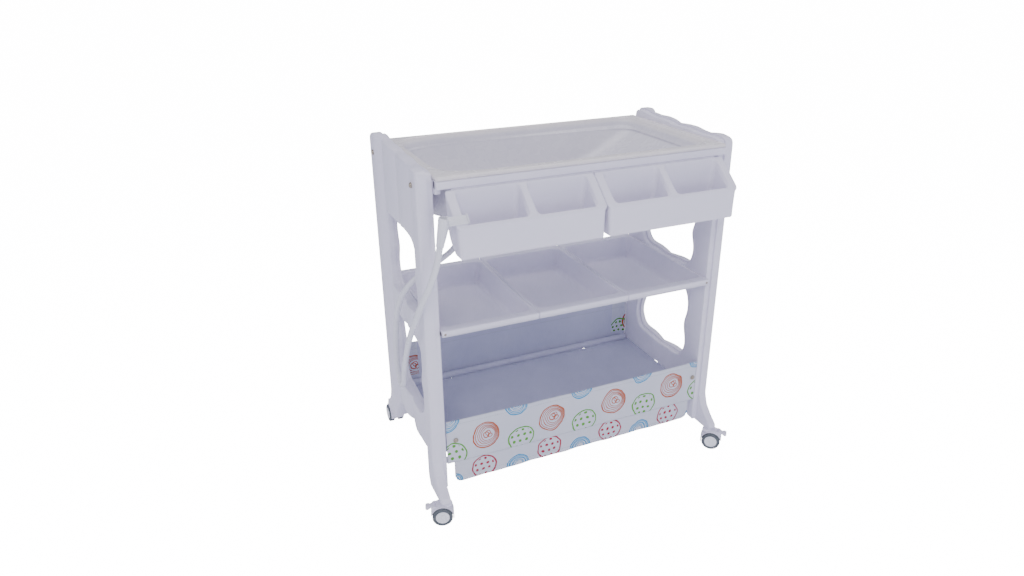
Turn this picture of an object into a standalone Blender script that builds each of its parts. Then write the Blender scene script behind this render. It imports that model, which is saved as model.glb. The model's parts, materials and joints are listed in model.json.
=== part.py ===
"""Changing table: a baby bath carried between two moulded side panels.

A two-module organiser hangs on its front, a three-tray shelf and a cloth basket lie
below, and each foot stands on a braked twin-wheel castor. A drain hose runs from under
the bath, out through the left panel's window, and clips on the organiser.

Metres, +Z up. X runs along the table to the right, -Y is the front, the floor is Z = 0.
"""

import math

import bmesh
import bpy
from mathutils import Matrix, Vector

GAP = 0.0003  # clearance left between pieces that touch

# Side panels, each an outer and an inner shell that meet in a vertical plane
HALF_WIDTH = 0.400  # outer faces of the panels
SPLIT_X = 0.3755  # where the two shells of a panel meet
INNER_X = 0.362  # inner faces of the panels
PANEL_DEPTH = 0.195  # half the depth over the posts
PANEL_TOP = 0.872
TOP_EDGE = (  # depth and rise over PANEL_TOP along the panels' top, from front to back
    (-0.195, -0.022), (-0.1925, -0.0105), (-0.184, -0.0045), (-0.156, -0.0010), (-0.124, -0.0030),
    (-0.096, -0.0035), (-0.062, 0.0000), (-0.028, 0.0000), (0.000, -0.0015), (0.028, 0.0025),
    (0.062, 0.0045), (0.096, 0.0030), (0.124, 0.0065), (0.156, 0.0115), (0.182, 0.0100),
    (0.1920, 0.0035), (0.195, -0.0100),
)
SHELL_WALL = 0.0035
SKIRT_Z = 0.152  # lower edge of a panel between its feet
FOOT_Z = 0.068  # underside of the feet
FOOT_REACH = 0.250  # half the depth over the feet
FOOT_HEEL = 0.140  # where a foot starts, beside the skirt
RIDGE_WIDTH = 0.125  # two ridges fill the space between the posts
RIDGE_BASE_X, RIDGE_RISE = 0.386, 0.008
POST_ROUND = 0.035  # depth over which a post rises from the ridges to its full width
INNER_SETBACK = 0.005  # how far the inner shell's edges stay inside the outer's
UPPER_WINDOW = (0.507, 0.705)  # bottom and top
LOWER_WINDOW = (0.232, 0.446)

# Bath and the rails that carry it
RIM_TOP = 0.860
RIM_LIP = 0.0087
BATH_FRONT, BATH_BACK = -0.214, 0.200
BATH_WALL = 0.003
RAIL_TOP, RAIL_HEIGHT = 0.851, 0.018
FRONT_RAIL_DEPTH, REAR_RAIL_DEPTH = 0.022, 0.008
LUG_THICKNESS, LUG_DROP = 0.012, 0.030
FLANGE_X, FLANGE_Z, FLANGE_DEPTH = 0.330, 0.800, 0.003  # strip below the front rail
BOLT_Y, BOLT_Z = 0.163, 0.837
BOLT_SHANK, BOLT_HOLE, BOLT_HEAD = 0.0028, 0.0032, 0.0060
BATH_FLOOR = 0.728
DRAIN_X, DRAIN_RADIUS = -0.235, 0.0125
SPIGOT_WALL = 0.0025
NUT_RADIUS, NUT_HEIGHT = 0.0230, 0.007

# Organiser on the front
ORGANISER_FRONT, ORGANISER_BACK = -0.290, -0.2148
ORGANISER_HALF = 0.347
ORGANISER_TOP, ORGANISER_LIP, ORGANISER_FLOOR = 0.8328, 0.773, 0.702
ORGANISER_WALL = 0.004
ORGANISER_DRAFT, HOLLOW_DRAFT = 0.05, 0.08  # slopes of the end walls
HOLLOW_X, HOLLOW_HALF = 0.0805, 0.0715  # a compartment's centre and half length in its module
POCKETS = ((-0.1630, 0.0135), (0.0, 0.0100), (0.1630, 0.0135))  # places and widths, open below

# Shelf
SHELF_TOP, SHELF_LIP = 0.506, 0.015
SHELF_DEPTH = 0.203
SHELF_SEAM = 0.121
TRAY_FLOOR = 0.447
TRAY_SHEET, TRAY_TAPER, TRAY_FRONT_TAPER = 0.0025, 0.010, 0.066
TRAY_RIM, TRAY_FRONT, TRAY_REAR = 0.0085, -0.1785, 0.1700
SHELF_RAIL_Z, SHELF_RAIL_RADIUS = 0.4962, 0.0065
SHELF_RAIL_FRONT, SHELF_RAIL_REAR = -0.1925, 0.1835

# Basket
CLOTH = 0.002
BASKET_HALF = 0.3612
BASKET_Y = 0.1885
APRON_TOP, SEAM_Z, SKIRT_BOTTOM = 0.260, 0.140, 0.085
FLOOR_TOP = 0.162
BACK_TOP = 0.277
APRON_HALF = 0.3605
STUDS = {"left": (-0.3375, 0.203), "right": (0.349, 0.212)}
SKIRT_HALF, SKIRT_CORNER = 0.343, 0.018
FLOOR_THICKNESS, FLOOR_FRONT, FLOOR_REAR = 0.009, -0.1685, 0.1665
BACK_Y, BACK_BOTTOM = 0.187, 0.156
BASKET_RAIL_RADIUS = 0.0080
BASKET_RAIL_FRONT, BASKET_RAIL_REAR = (-0.1785, 0.1440), (0.1765, 0.1640)

# Castors, in a frame with the swivel axis at the origin and the trail along +X
CASTOR_X, CASTOR_Y = 0.381, 0.236
WHEEL_RADIUS, WHEEL_WIDTH = 0.025, 0.015
WHEEL_OFFSET = 0.0128  # centre of a wheel from the middle of its castor
TRAIL = 0.013
FRAME_DROP = 0.011  # heights of the frame are drawn this much high; it is lowered onto the castors
HOOD_INNER, HOOD_OUTER, HOOD_HALF_WIDTH = 0.0262, 0.0284, 0.0170
HOOD_START, HOOD_END = 12, 192  # degrees up from the trail
AXLE_RADIUS, AXLE_HALF = 0.003, 0.0205
HUB_RADIUS = 0.0185
COLLAR_RADIUS, COLLAR_BOTTOM = 0.011, 0.0508
STEM_RADIUS, STEM_LENGTH = 0.004, 0.013
PEDAL_HALF_WIDTH = 0.0085
PEDAL_PIVOT = Vector((0.0335, 0.0, 0.0490))
PEDAL_REACH = 0.290 - CASTOR_Y
TRAIL_HEADINGS = {  # direction of each castor's trail about +Z, in degrees from +X
    "front_left": 163.0,
    "front_right": -40.5,
    "back_left": 90.0,
    "back_right": 17.0,
}

# Drain hose: the middle of its route, from the drain to the clip
HOSE_RADIUS = 0.007
HOSE_ROUTE = [
    (DRAIN_X, 0.000, 0.6935),
    (DRAIN_X, 0.000, 0.6750),
    (-0.244, -0.010, 0.6500),
    (-0.275, -0.040, 0.6330),
    (-0.320, -0.074, 0.6240),
    (-0.360, -0.092, 0.6120),
    (-0.392, -0.092, 0.5900),
    (-0.412, -0.074, 0.5550),
    (-0.419, -0.045, 0.5060),
    (-0.420, -0.018, 0.4450),
    (-0.420, -0.002, 0.3860),
    (-0.420, 0.002, 0.3380),
    (-0.420, -0.0055, 0.3080),
    (-0.420, -0.0290, 0.2930),
    (-0.420, -0.0525, 0.3080),
    (-0.420, -0.0640, 0.3420),
    (-0.420, -0.090, 0.3960),
    (-0.420, -0.122, 0.4480),
    (-0.420, -0.158, 0.4960),
    (-0.418, -0.195, 0.5430),
    (-0.411, -0.226, 0.5920),
    (-0.396, -0.247, 0.6420),
    (-0.3820, -0.2550, 0.6880),
    (-0.3740, -0.2565, 0.7270),
]
CLIP_MOUTH_RADIUS, CLIP_LENGTH = 0.0130, 0.063
CLIP_ARM_Y = (-0.285, -0.270)
CLIP_ARM_X = (-0.360, -0.317)
CLIP_ARM_THICKNESS = 0.0045

COLOURS = {
    "white": ((0.83, 0.83, 0.87, 1.0), 0.32, 0.0),
    "bath": ((0.78, 0.78, 0.80, 1.0), 0.25, 0.0),
    "cloth": ((0.86, 0.87, 0.91, 1.0), 0.80, 0.0),
    "lining": ((0.50, 0.52, 0.64, 1.0), 0.75, 0.0),
    "tread": ((0.20, 0.22, 0.25, 1.0), 0.60, 0.0),
    "steel": ((0.62, 0.62, 0.64, 1.0), 0.35, 1.0),
    "hose": ((0.80, 0.80, 0.84, 1.0), 0.30, 0.0),
}


def clear_scene():
    for thing in list(bpy.data.objects):
        bpy.data.objects.remove(thing, do_unlink=True)


def new_collection(name):
    collection = bpy.data.collections.new(name)
    bpy.context.scene.collection.children.link(collection)
    return collection


def make_material(name):
    colour, roughness, metallic = COLOURS[name]
    material = bpy.data.materials.new(name)
    material.use_nodes = True
    shader = material.node_tree.nodes["Principled BSDF"]
    shader.inputs["Base Color"].default_value = colour
    shader.inputs["Roughness"].default_value = roughness
    shader.inputs["Metallic"].default_value = metallic
    return material


clear_scene()
PARTS = new_collection("changing_table")
CUTTERS = new_collection("cutters")
MATERIALS = {name: make_material(name) for name in COLOURS}


# Making and combining solids


def add_object(name, mesh, colour="white", place=None):
    thing = bpy.data.objects.new(name, mesh)
    mesh.materials.append(MATERIALS[colour])
    if place is not None:
        thing.matrix_world = place
    PARTS.objects.link(thing)
    return thing


def mesh_from(bm, name):
    mesh = bpy.data.meshes.new(name)
    bm.to_mesh(mesh)
    bm.free()
    return mesh


def box(name, low, high, colour="white", place=None):
    """A block between two corners."""
    low, high = Vector(low), Vector(high)
    bm = bmesh.new()
    bmesh.ops.create_cube(bm, size=1.0)
    bmesh.ops.scale(bm, vec=high - low, verts=bm.verts)
    bmesh.ops.translate(bm, vec=(low + high) / 2, verts=bm.verts)
    return add_object(name, mesh_from(bm, name), colour, place)


def tapered_box(name, low, high, taper, front):
    """A block whose underside is smaller than its top by taper on each side, by front in front."""
    block = box(name, low, high)
    middle = (Vector(low) + Vector(high)) / 2
    for vertex in block.data.vertices:
        if vertex.co.z < middle.z:
            vertex.co.x += math.copysign(taper, middle.x - vertex.co.x)
            vertex.co.y += front if vertex.co.y < middle.y else -taper
    return block


def cylinder(name, radius, low, high, axis="Z", centre=(0, 0), colour="white", sides=16, place=None):
    """A closed cylinder from low to high along an axis; centre gives its other two coordinates."""
    bm = bmesh.new()
    bmesh.ops.create_cone(
        bm, cap_ends=True, segments=sides, radius1=radius, radius2=radius, depth=high - low
    )
    middle = (low + high) / 2
    if axis == "X":
        turn = Matrix.Rotation(math.pi / 2, 4, "Y")
        offset = (middle, centre[0], centre[1])
    elif axis == "Y":
        turn = Matrix.Rotation(-math.pi / 2, 4, "X")
        offset = (centre[0], middle, centre[1])
    else:
        turn = Matrix.Identity(4)
        offset = (centre[0], centre[1], middle)
    bmesh.ops.transform(bm, matrix=Matrix.Translation(offset) @ turn, verts=bm.verts)
    return add_object(name, mesh_from(bm, name), colour, place)


def smooth_loop(points, steps=2):
    """A closed curve through the points, with steps - 1 points added on each side."""
    curve = []
    count = len(points)
    for i in range(count):
        before, start, end, after = (Vector(points[(i + k) % count]) for k in (-1, 0, 1, 2))
        for step in range(steps):
            t = step / steps
            curve.append(tuple(spline_point(before, start, end, after, t)))
    return curve


def spline_point(before, start, end, after, t):
    """Catmull-Rom: t from 0 at start to 1 at end."""
    return 0.5 * (
        2 * start
        + (end - before) * t
        + (2 * before - 5 * start + 4 * end - after) * t**2
        + (3 * start - before - 3 * end + after) * t**3
    )


def inset_loop(points, distance):
    """The closed outline moved inward by distance, or outward where it is negative."""
    area = sum(
        a[0] * b[1] - b[0] * a[1] for a, b in zip(points, points[1:] + points[:1])
    )
    side = math.copysign(distance, area)
    moved = []
    for i, point in enumerate(points):
        before, after = Vector(points[i - 1]), Vector(points[(i + 1) % len(points)])
        arriving = (Vector(point) - before).normalized()
        leaving = (after - Vector(point)).normalized()
        along = (arriving + leaving).normalized()
        reach = side / max(along.dot(arriving), 0.5)
        moved.append((point[0] - along.y * reach, point[1] + along.x * reach))
    return moved


AXIS_TURNS = {
    "X": Matrix(((0, 0, 1, 0), (1, 0, 0, 0), (0, 1, 0, 0), (0, 0, 0, 1))),
    "Y": Matrix(((1, 0, 0, 0), (0, 0, -1, 0), (0, 1, 0, 0), (0, 0, 0, 1))),
    "Z": Matrix.Identity(4),
}


def prism(name, loops, low, high, axis, colour="white", place=None):
    """A flat outline, with any holes after it, extruded from low to high along an axis.

    The outline's two numbers are Y and Z for axis X, X and Z for axis Y, X and Y for axis Z.
    """
    flat = bpy.data.curves.new(name, "CURVE")
    flat.dimensions = "2D"
    flat.fill_mode = "BOTH"
    flat.extrude = (high - low) / 2
    for loop in loops:
        spline = flat.splines.new("POLY")
        spline.points.add(len(loop) - 1)
        for point, (a, b) in zip(spline.points, loop):
            point.co = (a, b, 0, 1)
        spline.use_cyclic_u = True
    offset = (low + high) / 2 * (-1 if axis == "Y" else 1)
    outline = bpy.data.objects.new(name + "_outline", flat)
    PARTS.objects.link(outline)
    outline.matrix_world = AXIS_TURNS[axis] @ Matrix.Translation((0, 0, offset))
    if place is not None:
        outline.matrix_world = place @ outline.matrix_world
    bpy.context.view_layer.update()
    solid = mesh_from_curve(outline)
    return add_object(name, solid, colour, outline_place(outline))


def outline_place(outline):
    """The world matrix of a curve that has been made a mesh; the curve is removed."""
    place = outline.matrix_world.copy()
    bpy.data.objects.remove(outline, do_unlink=True)
    return place


def mesh_from_curve(curve):
    """The curve's evaluated mesh, with its loose caps welded to its sides."""
    depsgraph = bpy.context.evaluated_depsgraph_get()
    mesh = bpy.data.meshes.new_from_object(curve.evaluated_get(depsgraph))
    mesh.materials.clear()
    bm = bmesh.new()
    bm.from_mesh(mesh)
    bmesh.ops.remove_doubles(bm, verts=bm.verts, dist=1e-5)
    bmesh.ops.recalc_face_normals(bm, faces=bm.faces)
    bm.to_mesh(mesh)
    bm.free()
    return mesh


def combine(target, operation, *tools):
    """Unite, cut or intersect target with other solids, which become hidden cutters."""
    for tool in tools:
        change = target.modifiers.new(operation.lower(), "BOOLEAN")
        change.operation = operation
        change.solver = "EXACT"
        change.object = tool
        PARTS.objects.unlink(tool)
        CUTTERS.objects.link(tool)
        tool.hide_render = True
        tool.display_type = "WIRE"
    return target


def unite(target, *tools):
    return combine(target, "UNION", *tools)


def cut(target, *tools):
    return combine(target, "DIFFERENCE", *tools)


def intersect(target, *tools):
    return combine(target, "INTERSECT", *tools)


def turned(name, profile, sides, colour="white", place=None, closed=True):
    """A profile of (radius, height) points turned about Z, its outer side going down."""
    mesh = bpy.data.meshes.new(name)
    points = [(radius, 0.0, height) for radius, height in profile]
    count = len(points)
    edges = [(i, (i + 1) % count) for i in range(count if closed else count - 1)]
    mesh.from_pydata(points, edges, [])
    spun = add_object(name, mesh, colour, place)
    screw = spun.modifiers.new("turn", "SCREW")
    screw.angle = 2 * math.pi
    screw.steps = sides
    screw.render_steps = sides
    screw.use_merge_vertices = True
    screw.merge_threshold = 0.0001
    return spun


# Side panels


def mirrored(half):
    """A closed outline from its y > 0 half, listed from the top middle to the bottom middle."""
    sides = [point for point in half if point[0] > 0]
    return [half[0]] + sides + [half[-1]] + [(-y, z) for y, z in reversed(sides)]


def panel_outline(flared):
    """Top sloping to the front, straight posts, wavy skirt; the outer shell's feet flare."""
    flare = [
        (PANEL_DEPTH, FOOT_Z + 0.086),
        (PANEL_DEPTH + 0.010, FOOT_Z + 0.056),
        (PANEL_DEPTH + 0.032, FOOT_Z + 0.032),
        (FOOT_REACH, FOOT_Z + 0.014),
        (FOOT_REACH, FOOT_Z),
    ]
    side = [
        *(flare if flared else [(PANEL_DEPTH, FOOT_Z)]),
        (FOOT_HEEL + 0.022, FOOT_Z),
        (FOOT_HEEL + 0.004, FOOT_Z + 0.036),
        (FOOT_HEEL - 0.006, SKIRT_Z - 0.022),
        (FOOT_HEEL - 0.022, SKIRT_Z - 0.006),
        (0.082, SKIRT_Z + 0.002),
        (0.040, SKIRT_Z - 0.002),
    ]
    front = [(-y, z) for y, z in reversed(side)]
    top = [(y, PANEL_TOP + rise) for y, rise in TOP_EDGE]
    return side + [(0.000, SKIRT_Z + 0.007)] + front + top


def window_outline(bottom, top):
    """A window with scalloped edges, waisted at mid height."""
    waist = (bottom + top) / 2
    half = [
        (0.000, top - 0.008),
        (0.048, top),
        (0.096, top - 0.006),
        (0.114, top - 0.030),
        (0.117, top - 0.062),
        (0.107, waist),
        (0.117, bottom + 0.060),
        (0.114, bottom + 0.034),
        (0.096, bottom + 0.008),
        (0.048, bottom + 0.004),
        (0.000, bottom),
    ]
    return smooth_loop(mirrored(half))


def skin_section(inset):
    """Cross-section of the outer shell: a post at each edge and two ridges between."""
    def skin_x(y):
        if y < RIDGE_WIDTH:
            return RIDGE_BASE_X + RIDGE_RISE * math.sin(math.pi * y / RIDGE_WIDTH) ** 0.6
        post = min((y - RIDGE_WIDTH) / POST_ROUND, 1.0)
        return RIDGE_BASE_X + (HALF_WIDTH - RIDGE_BASE_X) * math.sin(math.pi / 2 * post)

    stations = [0.0, 0.008, 0.030, 0.0625, 0.095, 0.117, 0.125, 0.132, 0.144, 0.160]
    edge = FOOT_REACH + 0.02
    half = [(y, skin_x(y) - inset) for y in stations] + [(edge, HALF_WIDTH - inset)]
    inner = SPLIT_X - (0.001 if inset else 0.0)
    outline = [(x, y) for y, x in half] + [(inner, edge), (inner, -edge)]
    return outline + [(x, -y) for y, x in reversed(half[1:])]


def to_side(points, sign):
    """Outline points (x, y) of the right panel, mirrored for the left one."""
    return [(sign * x, y) for x, y in points]


def slab(name, loops, sign, near, far):
    """A YZ outline extruded between two distances from the table's middle."""
    low, high = sorted((sign * near, sign * far))
    return prism(name, loops, low, high, "X")


def panel_loops(inset, flared=True):
    loops = [inset_loop(panel_outline(flared), inset)]
    for bottom, top in (UPPER_WINDOW, LOWER_WINDOW):
        loops.append(inset_loop(window_outline(bottom, top), -inset))
    return loops


def skin(name, sign, inset):
    """The corrugated solid inside the panel's outline, set in by a wall's thickness."""
    near = SPLIT_X - (0.001 if inset else 0.0)
    body = slab(name, panel_loops(inset), sign, near - 0.01, HALF_WIDTH + 0.01)
    section = prism(name + "_section", [to_side(skin_section(inset), sign)], 0.0, 1.0, "Z")
    return intersect(body, section)


def build_side_panel(side, sign):
    outer = skin(side + "_outer_panel", sign, 0.0)
    cut(outer, skin(side + "_outer_cavity", sign, SHELL_WALL))
    inner_near, inner_far = INNER_X, SPLIT_X - GAP
    inner = slab(side + "_inner_panel", panel_loops(INNER_SETBACK, False), sign, inner_near, inner_far)
    cavity = panel_loops(INNER_SETBACK + SHELL_WALL, False)
    cut(inner, slab(side + "_inner_cavity", cavity, sign, inner_near + SHELL_WALL, inner_far + 0.01))
    for end in (-1, 1):
        socket = cylinder(
            "stem_socket", STEM_RADIUS + 0.0005, FOOT_Z - 0.01, FOOT_Z + 0.02,
            "Z", (sign * CASTOR_X, end * CASTOR_Y), sides=12,
        )
        cut(outer, bolt_hole(sign, end), socket)
        cut(inner, bolt_hole(sign, end))


# Rails and bolts


def build_upper_rail(name, end, edge, depth):
    """A rail under one edge of the bath's rim, with a lug at each end for the panel's bolt."""
    reach = INNER_X - GAP
    low_z = RAIL_TOP - RAIL_HEIGHT
    low_y, high_y = sorted((end * edge, end * (edge - depth)))
    rail = box(name, (-reach, low_y, low_z), (reach, high_y, RAIL_TOP))
    for sign in (-1, 1):
        low_x, high_x = sorted((sign * reach, sign * (reach - LUG_THICKNESS)))
        lug_low, lug_high = sorted((end * (edge - depth / 2), end * (BOLT_Y - 0.014)))
        lug_bottom, lug_top = RAIL_TOP - LUG_DROP, RAIL_TOP - 0.001
        unite(rail, box(name + "_lug", (low_x, lug_low, lug_bottom), (high_x, lug_high, lug_top)))
        cut(rail, bolt_hole(sign, end))
    if end < 0:
        flange_low = (-FLANGE_X, BATH_FRONT, FLANGE_Z)
        flange_high = (FLANGE_X, BATH_FRONT + FLANGE_DEPTH, low_z + 0.002)
        unite(rail, box(name + "_flange", flange_low, flange_high))
    return rail


def bolt_hole(sign, end):
    """Clearance for one bolt, from outside a panel into its rail's lug."""
    low, high = sorted((sign * (INNER_X - 0.06), sign * (HALF_WIDTH + 0.05)))
    return cylinder("bolt_hole", BOLT_HOLE, low, high, "X", (end * BOLT_Y, BOLT_Z), sides=8)


def build_round_rail(name, y, z, radius):
    reach = INNER_X - GAP
    cylinder(name, radius, -reach, reach, "X", (y, z), sides=12)


def build_rails():
    build_upper_rail("upper_front_rail", -1, -BATH_FRONT, FRONT_RAIL_DEPTH)
    build_upper_rail("upper_rear_rail", 1, BATH_BACK, REAR_RAIL_DEPTH)
    build_round_rail("shelf_front_rail", SHELF_RAIL_FRONT, SHELF_RAIL_Z, SHELF_RAIL_RADIUS)
    build_round_rail("shelf_rear_rail", SHELF_RAIL_REAR, SHELF_RAIL_Z, SHELF_RAIL_RADIUS)
    build_round_rail("basket_front_rail", *BASKET_RAIL_FRONT, BASKET_RAIL_RADIUS)
    build_round_rail("basket_rear_rail", *BASKET_RAIL_REAR, BASKET_RAIL_RADIUS)


def build_bolts():
    """Bolts through the panels into the upper rails' lugs, each a head and a shank in one."""
    face = HALF_WIDTH + GAP
    profile = [
        (BOLT_SHANK, INNER_X - 0.010), (BOLT_SHANK, face), (BOLT_HEAD, face),
        (BOLT_HEAD, face + 0.0025), (BOLT_HEAD - 0.002, face + 0.0040),
    ]
    for depth, end in (("front", -1), ("rear", 1)):
        for side, sign in (("left", -1), ("right", 1)):
            outward = Matrix.Rotation(sign * math.pi / 2, 4, "Y")
            place = Matrix.Translation((0, end * BOLT_Y, BOLT_Z)) @ outward
            rod(f"rail_bolt_{depth}_{side}", profile, 8, place)


def rod(name, profile, sides, place):
    """A turned solid from (radius, height) points listed upwards, with flat ends."""
    bm = bmesh.new()
    loft(bm, [circle(radius, height, sides) for radius, height in profile])
    return add_object(name, mesh_from(bm, name), "steel", place)


def circle(radius, height, sides):
    turns = [2 * math.pi * k / sides for k in range(sides)]
    return [(radius * math.cos(turn), radius * math.sin(turn), height) for turn in turns]


def loft(bm, rings, cap_first=True):
    """Join rings of equal length into one surface, its last ring capped and its first where asked."""
    rows = [[bm.verts.new(point) for point in ring] for ring in rings]
    count = len(rows[0])
    for lower, upper in zip(rows, rows[1:]):
        for k in range(count):
            after = (k + 1) % count
            bm.faces.new((lower[k], lower[after], upper[after], upper[k]))
    if cap_first:
        bm.faces.new(list(reversed(rows[0])))
    bm.faces.new(rows[-1])


# Bath


def superellipse(height, x, half_x, y, half_y, power, sides=32):
    """A ring between an ellipse (power 2) and a rectangle (high power)."""
    ring = []
    for k in range(sides):
        turn = 2 * math.pi * (k + 0.5) / sides
        cosine, sine = math.cos(turn), math.sin(turn)
        ring.append((
            x + half_x * math.copysign(abs(cosine) ** (2 / power), cosine),
            y + half_y * math.copysign(abs(sine) ** (2 / power), sine),
            height,
        ))
    return ring


def build_bath():
    """One shell: a flat rim with a lip, steep at the left end and a sloping back at the right."""
    rim_y = (BATH_FRONT + BATH_BACK) / 2
    rim_half_y = (BATH_BACK - BATH_FRONT) / 2
    reach = INNER_X - GAP
    rings = [
        superellipse(RIM_TOP - RIM_LIP, 0.0, reach, rim_y, rim_half_y, 30),
        superellipse(RIM_TOP - 0.002, 0.0, reach, rim_y, rim_half_y, 30),
        superellipse(RIM_TOP, 0.0, reach - 0.002, rim_y, rim_half_y - 0.002, 30),
        superellipse(RIM_TOP, -0.003, 0.337, 0.0005, 0.1865, 8),
        superellipse(RIM_TOP - 0.006, -0.003, 0.332, 0.0005, 0.1835, 7),
        superellipse(0.828, -0.0085, 0.3255, 0.002, 0.174, 6),
        superellipse(0.800, -0.036, 0.296, 0.002, 0.160, 5.5),
        superellipse(0.765, -0.0795, 0.2495, 0.002, 0.136, 5),
        superellipse(0.742, -0.1155, 0.2105, 0.002, 0.112, 4.5),
        superellipse(0.730, -0.134, 0.184, 0.002, 0.090, 4),
        superellipse(BATH_FLOOR, DRAIN_X + 0.03, 0.060, 0.000, 0.045, 2),
    ]
    bm = bmesh.new()
    loft(bm, rings, cap_first=False)
    bath = add_object("bath_tub", mesh_from(bm, "bath_tub"), "bath")
    shell = bath.modifiers.new("wall", "SOLIDIFY")
    shell.thickness = BATH_WALL
    shell.offset = -1.0
    hole_radius = DRAIN_RADIUS + SPIGOT_WALL + GAP
    hole = cylinder("drain_hole", hole_radius, BATH_FLOOR - 0.02, BATH_FLOOR + 0.02, "Z", (DRAIN_X, 0.0))
    return cut(bath, hole)


def build_drain():
    """Spigot through the bath's floor, the nut that clamps it, and the plug in its mouth."""
    place = Matrix.Translation((DRAIN_X, 0.0, 0.0))
    outer = DRAIN_RADIUS + SPIGOT_WALL
    turned("drain_spigot", [
        (0.0215, BATH_FLOOR + GAP + 0.0018), (0.0215, BATH_FLOOR + GAP), (outer, BATH_FLOOR + GAP),
        (outer, 0.7080), (HOSE_RADIUS + 0.002, 0.7040), (HOSE_RADIUS + 0.001, 0.6940),
        (0.0050, 0.6940), (0.0050, 0.7060), (DRAIN_RADIUS - 0.001, 0.7110),
        (DRAIN_RADIUS, BATH_FLOOR + GAP + 0.0018),
    ], 16, "white", place)
    nut_top = BATH_FLOOR - BATH_WALL - GAP
    nut_bottom = nut_top - NUT_HEIGHT
    turned("drain_locknut", [
        (NUT_RADIUS, nut_top), (NUT_RADIUS, nut_bottom), (outer + GAP, nut_bottom), (outer + GAP, nut_top),
    ], 16, "white", place)
    turned("drain_plug", [
        (0.0, 0.7360), (0.0025, 0.7360), (0.0025, 0.7300),
        (0.0118, 0.7300), (0.0108, 0.7210), (0.0, 0.7210),
    ], 16, "hose", place, closed=False)


# Hose and its clip


def hose_points(spacing):
    """Points a little apart along a smooth curve through the route."""
    route = [Vector(point) for point in HOSE_ROUTE]
    ends = [2 * route[0] - route[1]] + route + [2 * route[-1] - route[-2]]
    points = []
    for i in range(len(route) - 1):
        steps = max(1, round((route[i + 1] - route[i]).length / spacing))
        for step in range(steps):
            points.append(spline_point(*ends[i:i + 4], step / steps))
    return points + [route[-1]]


def build_hose():
    line = bpy.data.curves.new("drain_hose", "CURVE")
    line.dimensions = "3D"
    line.bevel_depth = HOSE_RADIUS
    line.bevel_resolution = 2
    line.use_fill_caps = True
    points = hose_points(0.030)
    spline = line.splines.new("POLY")
    spline.points.add(len(points) - 1)
    for point, place in zip(spline.points, points):
        point.co = (*place, 1.0)
    hose = bpy.data.objects.new("drain_hose", line)
    line.materials.append(MATERIALS["hose"])
    PARTS.objects.link(hose)


def rim_height(y):
    """Height of the organiser's sloping mouth at depth y."""
    rise = (ORGANISER_TOP - 0.001) - (ORGANISER_LIP + 0.003)
    run = (ORGANISER_BACK - 0.006) - (ORGANISER_FRONT + 0.004)
    return ORGANISER_LIP + 0.003 + (y - ORGANISER_FRONT - 0.004) * rise / run


def build_clip():
    """A funnel on the hose's end, with an arm that lies over the organiser's end wall."""
    end = Vector(HOSE_ROUTE[-1])
    lean = (end - Vector(HOSE_ROUTE[-2])).normalized()
    place = Matrix.Translation(end) @ lean.to_track_quat("Z", "Y").to_matrix().to_4x4()
    bore = CLIP_MOUTH_RADIUS - 0.0022
    funnel = turned("hose_clip", [
        (CLIP_MOUTH_RADIUS, CLIP_LENGTH), (CLIP_MOUTH_RADIUS, CLIP_LENGTH - 0.008), (0.0095, 0.018),
        (0.0085, 0.0010), (0.0050, 0.0010), (0.0060, 0.020),
        (bore, CLIP_LENGTH - 0.004), (bore, CLIP_LENGTH),
    ], 16, "hose", place)
    underside = [(y, rim_height(y) + 0.001) for y in CLIP_ARM_Y]
    upper_side = [(y, z + CLIP_ARM_THICKNESS) for y, z in reversed(underside)]
    arm = prism("clip_arm", [underside + upper_side], *CLIP_ARM_X, "X")
    upturn = [(y, z + 2 * CLIP_ARM_THICKNESS) for y, z in reversed(underside)]
    lip = prism("clip_lip", [underside + upturn], CLIP_ARM_X[1] - 0.003, CLIP_ARM_X[1], "X")
    link_x, link_y = CLIP_ARM_X[0] + 0.012, CLIP_ARM_Y[0] + 0.003
    link = box("clip_link", (CLIP_ARM_X[0], link_y, 0.776), (link_x, link_y + 0.020, 0.7885))
    unite(funnel, link, arm, lip)


# Organiser


def organiser_section(inset, open_below=False):
    """Side profile of a module: upright front, sloping mouth, upright back, rounded underside.

    An inset profile, for a hollow, runs out through the mouth or, open below, through the floor.
    """
    front, back = ORGANISER_FRONT + inset, ORGANISER_BACK - inset
    floor = ORGANISER_FLOOR - 0.01 if open_below else ORGANISER_FLOOR + inset
    mouth = 0.0
    if inset:
        mouth = -inset if open_below else 0.06
    return [
        (front, floor + 0.004), (front, ORGANISER_LIP + mouth),
        (front + 0.004, ORGANISER_LIP + 0.003 + mouth),
        (back - 0.006, ORGANISER_TOP - 0.001 + mouth), (back, ORGANISER_TOP - 0.004 + mouth),
        (back, 0.752), (back - 0.006, 0.726 + inset / 2), (back - 0.022, 0.706 + inset),
        (back - 0.046, floor), (front + 0.004, floor),
    ]


def build_organiser(name, sign):
    """A module with two compartments, its walls drafted inward to the floor."""
    middle = sign * ORGANISER_HALF / 2
    half = ORGANISER_HALF / 2 - GAP / 2
    module = prism(name, [organiser_section(0.0)], middle - half, middle + half, "X")
    draft(module, middle, ORGANISER_DRAFT)
    for offset in (-HOLLOW_X, HOLLOW_X):
        centre = middle + offset
        section = organiser_section(ORGANISER_WALL)
        hollow = prism(name + "_hollow", [section], centre - HOLLOW_HALF, centre + HOLLOW_HALF, "X")
        draft(hollow, centre, HOLLOW_DRAFT)
        cut(module, hollow)
    for offset, width in POCKETS:
        centre = middle + offset
        section = organiser_section(0.0030, open_below=True)
        cut(module, prism(name + "_pocket", [section], centre - width / 2, centre + width / 2, "X"))


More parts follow.
